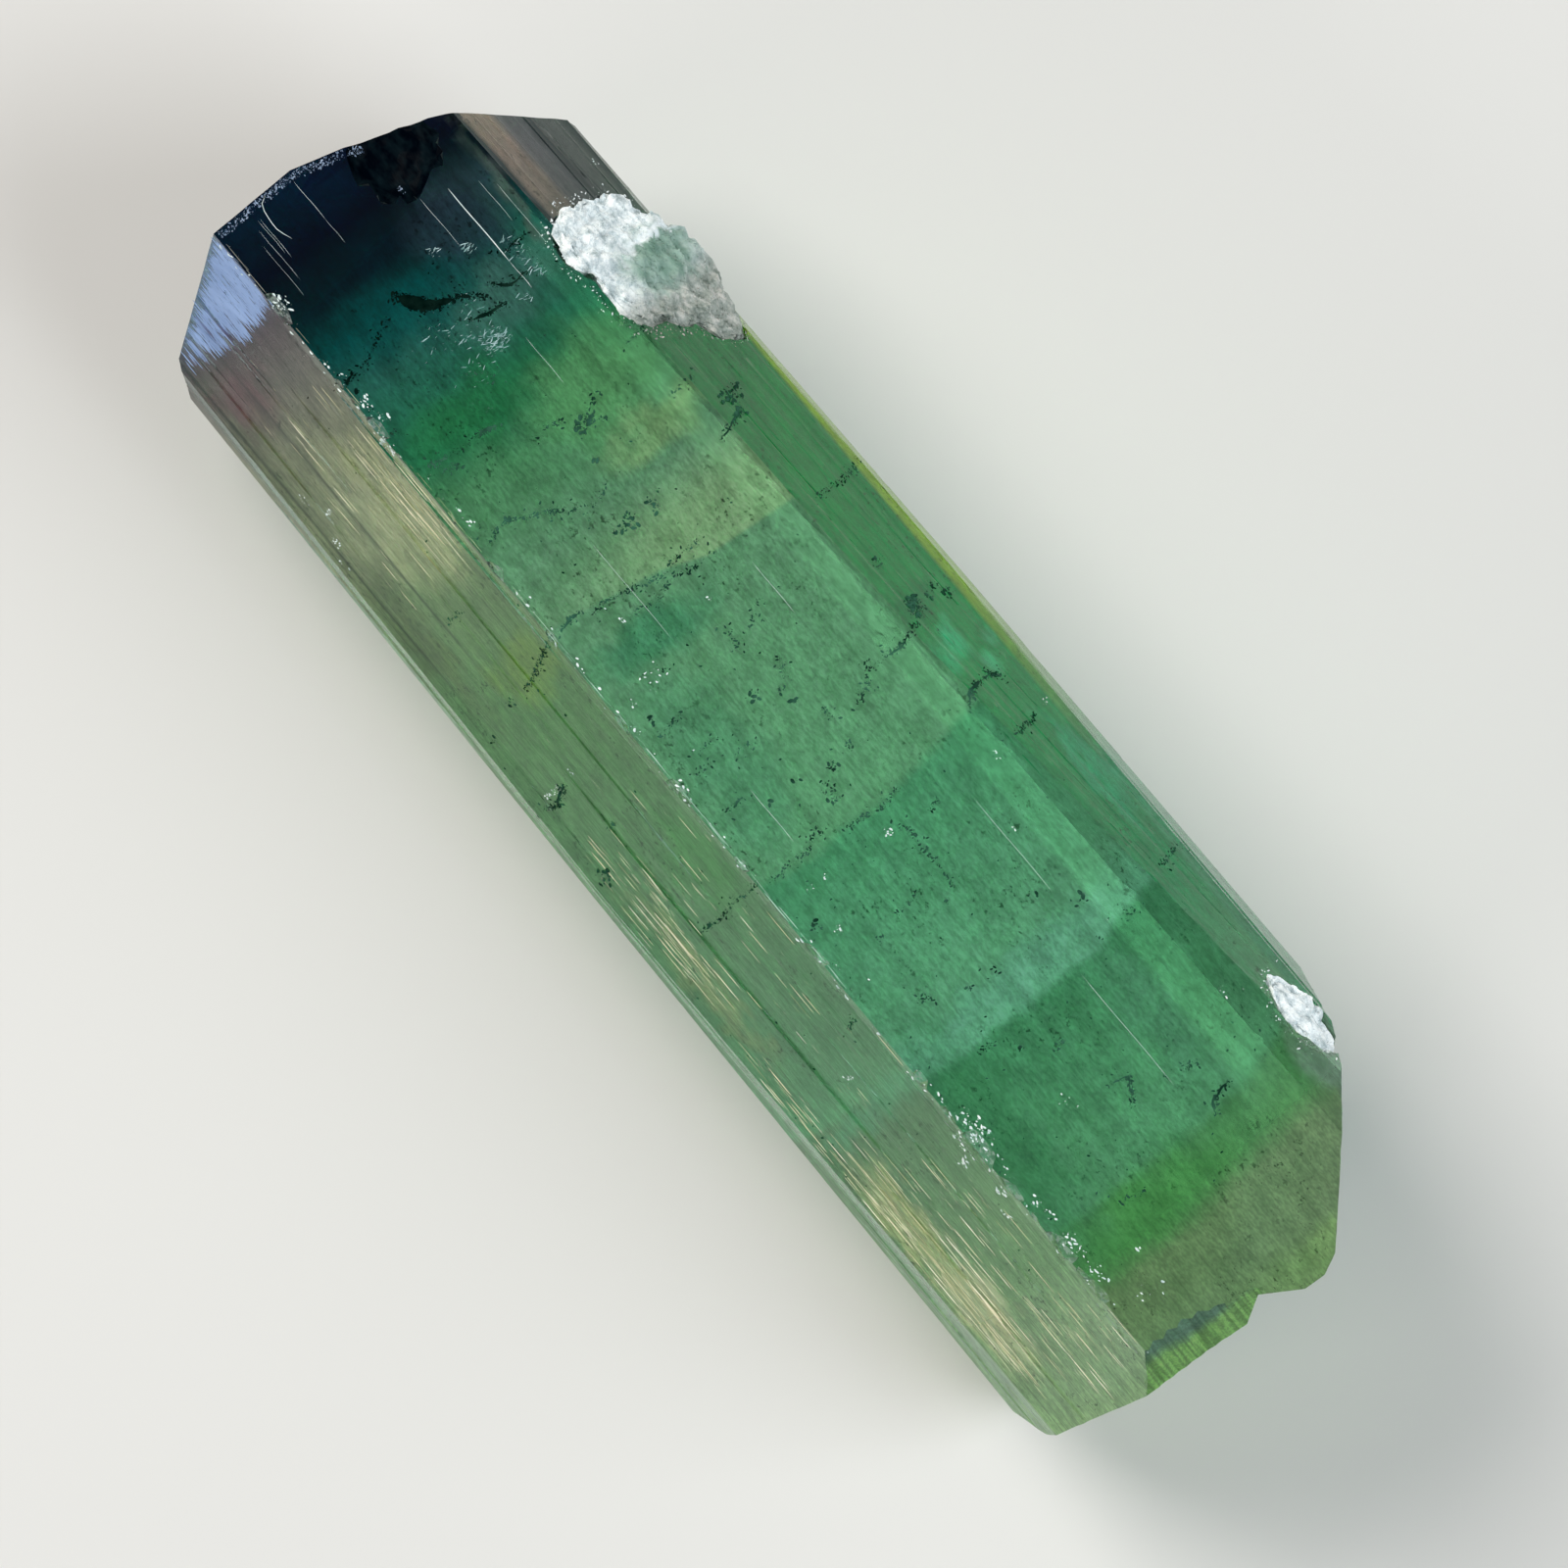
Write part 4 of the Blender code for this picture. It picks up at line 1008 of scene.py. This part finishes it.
# Painted glints of the shattered patch, in the same ovals.
GLINTS = (
    (13.05, -0.95, 0.42, 0.52, 1.0), (13.6, -0.3, 0.5, 0.5, 0.15), (14.4, -2.95, 0.70, 0.35, 0.22),
    (15.4, -1.95, 0.22, 0.14, 1.0), (15.9, -1.20, 0.12, 0.16, 1.0), (13.4, -2.28, 0.20, 0.12, 0.9),
    (13.7, -3.00, 0.16, 0.14, 0.9), (14.9, -2.75, 0.12, 0.20, 0.8), (13.9, -0.3, 1.1, 1.4, 0.07),
    (12.6, 0.2, 1.0, 1.0, 0.04),
)
RIDGE_CHIPS = (
    (17.45, 2.80, 0.45, 0.26, 1.0), (19.3, 2.95, 0.25, 0.14, 0.7), (14.87, 2.78, 0.16, 0.14, 0.9),
    (14.0, 2.8, 0.3, 0.16, 0.8), (13.4, 2.7, 0.3, 0.18, 0.8), (12.8, 3.06, 0.6, 0.10, 1.0),
    (11.5, 2.75, 0.3, 0.14, 0.4), (10.0, 2.7, 0.45, 0.16, 0.5), (9.1, 2.85, 0.3, 0.10, 0.5),
    (7.2, 2.85, 0.4, 0.10, 0.4), (4.9, 2.85, 0.3, 0.1, 0.4), (2.7, 2.8, 0.3, 0.12, 0.6),
    (0.7, 2.85, 0.4, 0.18, 0.9), (-0.9, 2.85, 0.5, 0.10, 0.5), (-2.6, 2.85, 0.3, 0.1, 0.4),
    (-5.4, 2.8, 0.3, 0.12, 0.4), (-11.2, 2.68, 0.9, 0.30, 0.9), (-11.1, 3.15, 0.4, 0.12, 0.9),
    (-11.65, 3.4, 0.12, 0.3, 0.7), (-12.8, 3.2, 0.25, 0.12, 0.9), (-12.5, 2.7, 0.5, 0.16, 0.6),
    (-13.9, 2.65, 0.5, 0.14, 0.9), (-13.4, 3.5, 0.25, 0.1, 0.6), (-15.05, 2.62, 0.5, 0.20, 1.0),
    (-16.05, 2.62, 0.45, 0.18, 1.0), (-17.4, 1.8, 0.6, 0.5, 0.25), (-16.2, 1.35, 0.25, 0.1, 0.4),
)
RIDGE_DUST = 0.10

white_flake = Finish("white_flake")
white_flake.set("Base Color", white_flake.ramp(white_flake.noise((4.0, 4.0, 4.0)), (
    (0.3, (0.52, 0.68, 0.66)), (0.7, (0.90, 0.96, 0.95)),
)))
white_flake.set("Roughness", 0.35)

painted_ridge_highlight = Finish("painted_ridge_highlight")
painted_ridge_highlight.set("Base Color", painted_ridge_highlight.ramp(painted_ridge_highlight.x, (
    (-6.0, (0.36, 0.56, 0.44)), (6.0, (0.36, 0.56, 0.44)), (10.0, (0.42, 0.52, 0.26)),
    (19.0, (0.30, 0.30, 0.26)),
)))
painted_ridge_highlight.set("Roughness", 0.4)

painted_blue_glint = Finish("painted_blue_glint")
painted_blue_glint.set("Base Color", painted_blue_glint.ramp(painted_blue_glint.noise((3.0, 3.0, 3.0)), (
    (0.35, (0.12, 0.30, 0.28)), (0.65, (0.46, 0.64, 0.66)),
)))
painted_blue_glint.set("Roughness", 0.35)

carrier, share_layer = new_carrier()
for nick in NICKS:
    corner, opposite = (nick[0] - nick[2], nick[1] - nick[3]), (nick[0] + nick[2], nick[1] + nick[3])
    add_skin(carrier, share_layer, corner, opposite, 0.05, lambda x, y, facing: in_ovals((nick,), x, y))
strew("nicks", carrier, white_flake, 340, (0.015, 0.12), (1.0, 0.55, 0.12), turn=(0.3, 0.3, 3.14), seed=5)

carrier, share_layer = new_carrier()
add_skin(carrier, share_layer, (-18.6, 1.2), (19.6, 3.7), 0.1, lambda x, y, facing:
         max(in_ovals(RIDGE_CHIPS, x, y), RIDGE_DUST if abs(y - RIDGE_Y) < 0.12 else 0.0))
strew("bruised_ridge", carrier, white_flake, 230, (0.015, 0.20), (1.0, 0.45, 0.10),
      turn=(0.4, 0.4, 0.7), seed=6)

# A fine line of painted glint along the ridge.
carrier, share_layer = new_carrier()
add_skin(carrier, share_layer, (-6.0, RIDGE_Y - 0.04), (19.4, RIDGE_Y + 0.04), 0.3, lambda x, y, facing:
         0.7 if x < 9.0 else 0.4)
strew("ridge_glint", carrier, painted_ridge_highlight, 90, (0.2, 1.4), (1.0, 0.03, 0.016),
      turn=(3.1, 0.004, 0.008), seed=7)

# The shattered patch: pale blue flakes whose colour is a painted glint off its fracture faces.
carrier, share_layer = new_carrier()
add_skin(carrier, share_layer, (11.4, -3.5), (16.2, 1.4), 0.1, lambda x, y, facing: in_ovals(GLINTS, x, y))
strew("shattered_patch_glints", carrier, painted_blue_glint, 620, (0.03, 0.32), (0.09, 1.0, 0.04),
      turn=(0.2, 0.2, 0.8), seed=8)


def rim_x(y):
    """How far the front face reaches towards the dark end at that y."""
    x = high_x + 0.2
    while x > 15.0 and (skin_at(x, y)[0] or 0.0) < front_height(x) - 0.35:
        x -= 0.03
    return x


RIM_WIDTH = 0.26
rim_flake = Finish("rim_flake")
rim_flake.set("Base Color", rim_flake.ramp(rim_flake.noise((4.0, 4.0, 4.0)), (
    (0.35, (0.05, 0.09, 0.16)), (0.65, (0.30, 0.40, 0.56)),
)))
rim_flake.set("Roughness", 0.4)
rims = {round(y, 2): rim_x(y) for y in along(-1.6, 2.8, 0.1)}
carrier, share_layer = new_carrier()
for y, rim in rims.items():
    add_skin(carrier, share_layer, (rim - RIM_WIDTH, y), (rim - 0.02, y + 0.1), 0.1, lambda x, y, facing:
             0.7 + 1.6 * noise.noise(Vector((x * 6.0, y * 6.0, 1.0))))
strew("bruised_rim", carrier, rim_flake, 700, (0.015, 0.12), (1.0, 0.5, 0.12), turn=(0.4, 0.4, 3.14), seed=10)

# ---------------------------------------------------------------------------------------------------------
# The periwinkle flat at the dark end of the left face: a painted blue reflection, laid on as fine slivers a
# few hundredths of a millimetre wide that lie along X and carry the blue in their own colour.
# ---------------------------------------------------------------------------------------------------------
PAINTED_BLUE_START = 17.65
END_CLEARANCE = 0.32
LEFT_LEAN = -math.radians(60)

painted_blue = Finish("painted_blue_reflection")
painted_blue.set("Base Color", painted_blue.ramp(painted_blue.noise((0.5, 1.2, 1.2)), (
    (0.3, (0.17, 0.27, 0.50)), (0.7, (0.27, 0.40, 0.68)),
)))
painted_blue.set("Roughness", 0.45)


def painted_blue_at(x, y, facing):
    """Full from the dark end to PAINTED_BLUE_START, with a ragged, bowed edge. Nothing overhangs the end."""
    beyond = skin_at(x + END_CLEARANCE, y)[1]
    if beyond is None or beyond.y < 0.6:
        return 0.0
    edge = PAINTED_BLUE_START + 0.25 * noise.noise(Vector((0.0, y * 4.0, 7.0))) - 0.25 * math.sin(1.3 * (y - 2.9))
    return (x - edge) / 0.35 if facing.y > 0.6 and y > 2.9 else 0.0


carrier, share_layer = new_carrier()
add_skin(carrier, share_layer, (16.8, 2.9), (19.8, 6.1), 0.08, painted_blue_at)
strew("blue_reflection_slivers", carrier, painted_blue, 300, (0.3, 0.8), (1.0, 0.08, 0.02), (LEFT_LEAN, 0, 0),
      turn=(0.06, 0.01, 0.02), seed=15)

# ---------------------------------------------------------------------------------------------------------
# Scratches and a lint hair on the front face near the dark end. They are thin white slivers, raised a hair's
# breadth, because a scratch in tourmaline has a burr of crushed stone.
# ---------------------------------------------------------------------------------------------------------
HAIR_WIDTH = 0.018
# Each scratch: its width, then its start and end in X and Y.
SCRATCHES = (
    (0.026, (16.94, -2.54), (14.4, -2.56)), (0.010, (14.4, -2.56), (13.5, -2.57)),
    (0.007, (17.2, -1.80), (15.6, -1.81)), (0.008, (19.7, 0.48), (18.4, 0.47)),
    (0.005, (18.4, 0.47), (17.6, 0.47)), (0.005, (19.5, 1.87), (18.4, 1.86)),
    (0.005, (19.5, 1.80), (18.2, 1.80)), (0.006, (16.6, -3.30), (15.2, -3.31)),
    (0.006, (16.2, -3.62), (14.2, -3.63)), (0.005, (19.3, 2.02), (17.6, 2.01)),
    (0.004, (18.9, 2.20), (17.2, 2.20)), (0.008, (-9.8, -2.1), (-13.6, -2.11)),
    (0.007, (-4.4, -2.9), (-7.6, -2.91)), (0.007, (12.6, -1.6), (11.0, -1.6)),
    (0.008, (4.2, -2.4), (2.4, -2.4)), (0.008, (-0.4, 1.5), (-2.2, 1.5)), (0.007, (7.3, 0.55), (4.0, 0.54)),
)
HAIR = (
    (19.9, 1.30), (19.79, 1.50), (19.6, 1.58), (19.4, 1.61), (19.2, 1.63), (19.01, 1.63), (18.8, 1.57),
    (18.57, 1.48),
)


def add_sliver(form, route, width):
    """A thin four-sided needle along a route on the crystal's skin, pointed at both ends."""
    rings = []
    for index, (x, y) in enumerate(route):
        ahead = Vector(route[min(index + 1, len(route) - 1)]) - Vector(route[max(index - 1, 0)])
        across = Vector((-ahead.y, ahead.x)).normalized()
        swell = width * (0.5 if 0 < index < len(route) - 1 else 0.08)
        top = (skin_at(x, y)[0] or front_height(x)) + 0.002
        corners = ((swell, 0.0), (0.0, 0.5 * swell), (-swell, 0.0), (0.0, -0.5 * swell))
        rings.append([form.verts.new((x + across.x * a, y + across.y * a, top + b)) for a, b in corners])
    for first, second in zip(rings, rings[1:]):
        for corner in range(4):
            after = (corner + 1) % 4
            form.faces.new((first[corner], first[after], second[after], second[corner]))
    form.faces.new(rings[0][::-1])
    form.faces.new(rings[-1])


scratches_form = bmesh.new()
for width, (x, y), (end_x, end_y) in SCRATCHES:
    steps = [index / 8 for index in range(9)]
    route = [(x + (end_x - x) * step, y + (end_y - y) * step + 0.008 * math.sin(7 * step)) for step in steps]
    add_sliver(scratches_form, route, width)
add_sliver(scratches_form, HAIR, HAIR_WIDTH)
bmesh.ops.recalc_face_normals(scratches_form, faces=scratches_form.faces)
scratches = finished("scratches", scratches_form, white_flake.material)
keep_in_box(scratches.data)
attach(scratches, "root")

# ---------------------------------------------------------------------------------------------------------
# The silk of the left face: fine raised slivers along the striae, whose cream and gold colour is a painted
# glint of their worn crests.
# ---------------------------------------------------------------------------------------------------------
# Ovals of silk and its painted glints: middle in X and Y, half length, half width, and share.
SILK_GLINTS = (
    (-1.5, 5.6, 3.2, 0.75, 0.35), (-2.6, 5.75, 2.2, 0.35, 0.6), (-7.6, 6.05, 2.5, 0.3, 0.45),
    (-11.3, 5.65, 2.6, 0.8, 0.6), (-15.0, 5.6, 3.0, 0.8, 1.0), (-15.0, 5.75, 1.9, 0.4, 1.0),
    (-13.5, 4.4, 4.5, 0.9, 0.16), (-17.4, 4.2, 1.6, 1.6, 0.25), (11.2, 3.5, 2.6, 0.6, 0.5),
    (12.5, 4.6, 4.5, 1.6, 0.06), (-4.0, 4.2, 9.0, 1.2, 0.04),
)

painted_gold_glints = Finish("painted_gold_glints")
painted_gold_glints.set("Base Color", painted_gold_glints.ramp(painted_gold_glints.noise((0.4, 5.0, 5.0)), (
    (0.3, (0.46, 0.48, 0.28)), (0.5, (0.82, 0.78, 0.54)), (0.7, (1.00, 0.96, 0.80)),
)))
painted_gold_glints.set("Roughness", 0.30)

carrier, share_layer = new_carrier()
add_skin(carrier, share_layer, (-18.8, 3.0), (16.8, 6.3), 0.2, lambda x, y, facing:
         in_ovals(SILK_GLINTS, x, y) * (0.35 + 1.6 * max(0.0, noise.noise(Vector((x * 0.5, y * 6.0, 2.0))))))
strew("silk", carrier, painted_gold_glints, 120, (0.15, 1.5), (1.0, 0.026, 0.014), turn=(3.1, 0.003, 0.004), seed=12)

# ---------------------------------------------------------------------------------------------------------
# The feldspar: sugary white remnants of the rock that the crystal grew in, stuck on the right face. Each is
# a lumpy mass of grown-together grains, fibrous at its edges, with loose grains standing proud.
# ---------------------------------------------------------------------------------------------------------
SUGAR_CUTS = 2
LUMP = 0.24
MOST_LIFT = 0.08
FRINGE_REACH = 0.40
SEAT_GAP = 0.12
RIGHT_FACING = Vector((0.0, -math.sin(math.radians(60)), math.cos(math.radians(60))))

feldspar = Finish("feldspar")
chalk = feldspar.ramp(feldspar.noise((2.6, 2.6, 2.6), 4.0, 0.75), (
    (0.32, (0.36, 0.44, 0.45)), (0.44, (0.64, 0.72, 0.74)), (0.56, (0.95, 1.0, 1.0)),
))
rosy = feldspar.ramp(feldspar.noise((2.4, 2.8, 2.8), 4.0, 0.75), (
    (0.34, (0.16, 0.20, 0.17)), (0.50, (0.36, 0.40, 0.36)), (0.64, (0.62, 0.62, 0.58)),
))
grey_green = feldspar.ramp(feldspar.noise((1.2, 3.0, 3.0), 4.0), (
    (0.3, (0.12, 0.24, 0.18)), (0.7, (0.36, 0.52, 0.44)),
))
painted_crest_highlight = (0.90, 0.96, 0.98)
frayed = feldspar.frayed(1.6, 1.2)
on_upper = feldspar.rise(feldspar.x, 0.0, 1.0)
rosy_share = feldspar.math("MULTIPLY", feldspar.rise(feldspar.x, 11.9, 10.9), on_upper)
crust_colour = feldspar.mix(rosy_share, chalk, rosy)
crust_colour = feldspar.mix(feldspar.oval(frayed, 12.0, -5.8, 1.15, 1.4, 1.0), crust_colour, grey_green)
# A painted highlight along the crest of the grey-green hump.
crust_colour = feldspar.mix(feldspar.oval(frayed, 12.7, -5.8, 0.22, 1.2, 0.9), crust_colour, painted_crest_highlight)
feldspar.set("Base Color", crust_colour)
feldspar.set("Roughness", 0.55)
feldspar.bump(feldspar.noise((7.0, 7.0, 7.0), 4.0, 0.7), 0.03)

for number, node in enumerate(("feldspar_crust_upper", "feldspar_crust_lower")):
    lumps = merged_copy(node)
    bmesh.ops.triangulate(lumps, faces=lumps.faces)
    bmesh.ops.subdivide_edges(lumps, edges=lumps.edges, cuts=SUGAR_CUTS, use_grid_fill=True)
    lumps.normal_update()
    moved = []
    for vert in lumps.verts:
        broad = noise.noise(vert.co * 1.3 + Vector((9.0 * number, 0.0, 0.0)))
        fibre = noise.noise(Vector((vert.co.x * 2.4, vert.co.y * 2.8, vert.co.z * 2.8)))
        fine = noise.noise(vert.co * 5.5)
        lift = min(LUMP * (0.5 * broad + 0.7 * fibre + 0.35 * fine - 0.2), MOST_LIFT)
        if abs(vert.normal.dot(RIGHT_FACING)) < 0.6:
            lift += SEAT_GAP
        moved.append((vert, vert.normal * lift))
    for vert, move in moved:
        vert.co += move
    carrier = lumps.copy()
    share_layer = carrier.verts.layers.float.new("share")
    for vert in carrier.verts:
        vert[share_layer] = 1.0 if vert.normal.z > -0.1 else 0.0
    crust = BVHTree.FromBMesh(lumps)
    xs, ys = [vert.co.x for vert in lumps.verts], [vert.co.y for vert in lumps.verts]
    corner = (min(xs) - FRINGE_REACH, min(ys) + FRINGE_REACH)
    opposite = (max(xs) + FRINGE_REACH, max(ys) + FRINGE_REACH)

    def fringe_share(x, y, facing):
        away = crust.find_nearest(Vector((x, y, skin_at(x, y)[0])))[3]
        return (1.0 + 2.0 * noise.noise(Vector((x * 2.0, y * 2.0, 3.0)))) * (1.0 - away / FRINGE_REACH)

    add_skin(carrier, share_layer, corner, opposite, 0.1, fringe_share)
    mass = finished(node.replace("crust", "mass"), lumps, feldspar.material)
    keep_in_box(mass.data)
    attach(mass, "root")
    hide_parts(node)
    strew(node.replace("crust", "sugar"), carrier, feldspar, 130, (0.02, 0.15), (1.0, 0.5, 0.4),
          seed=20 + number)
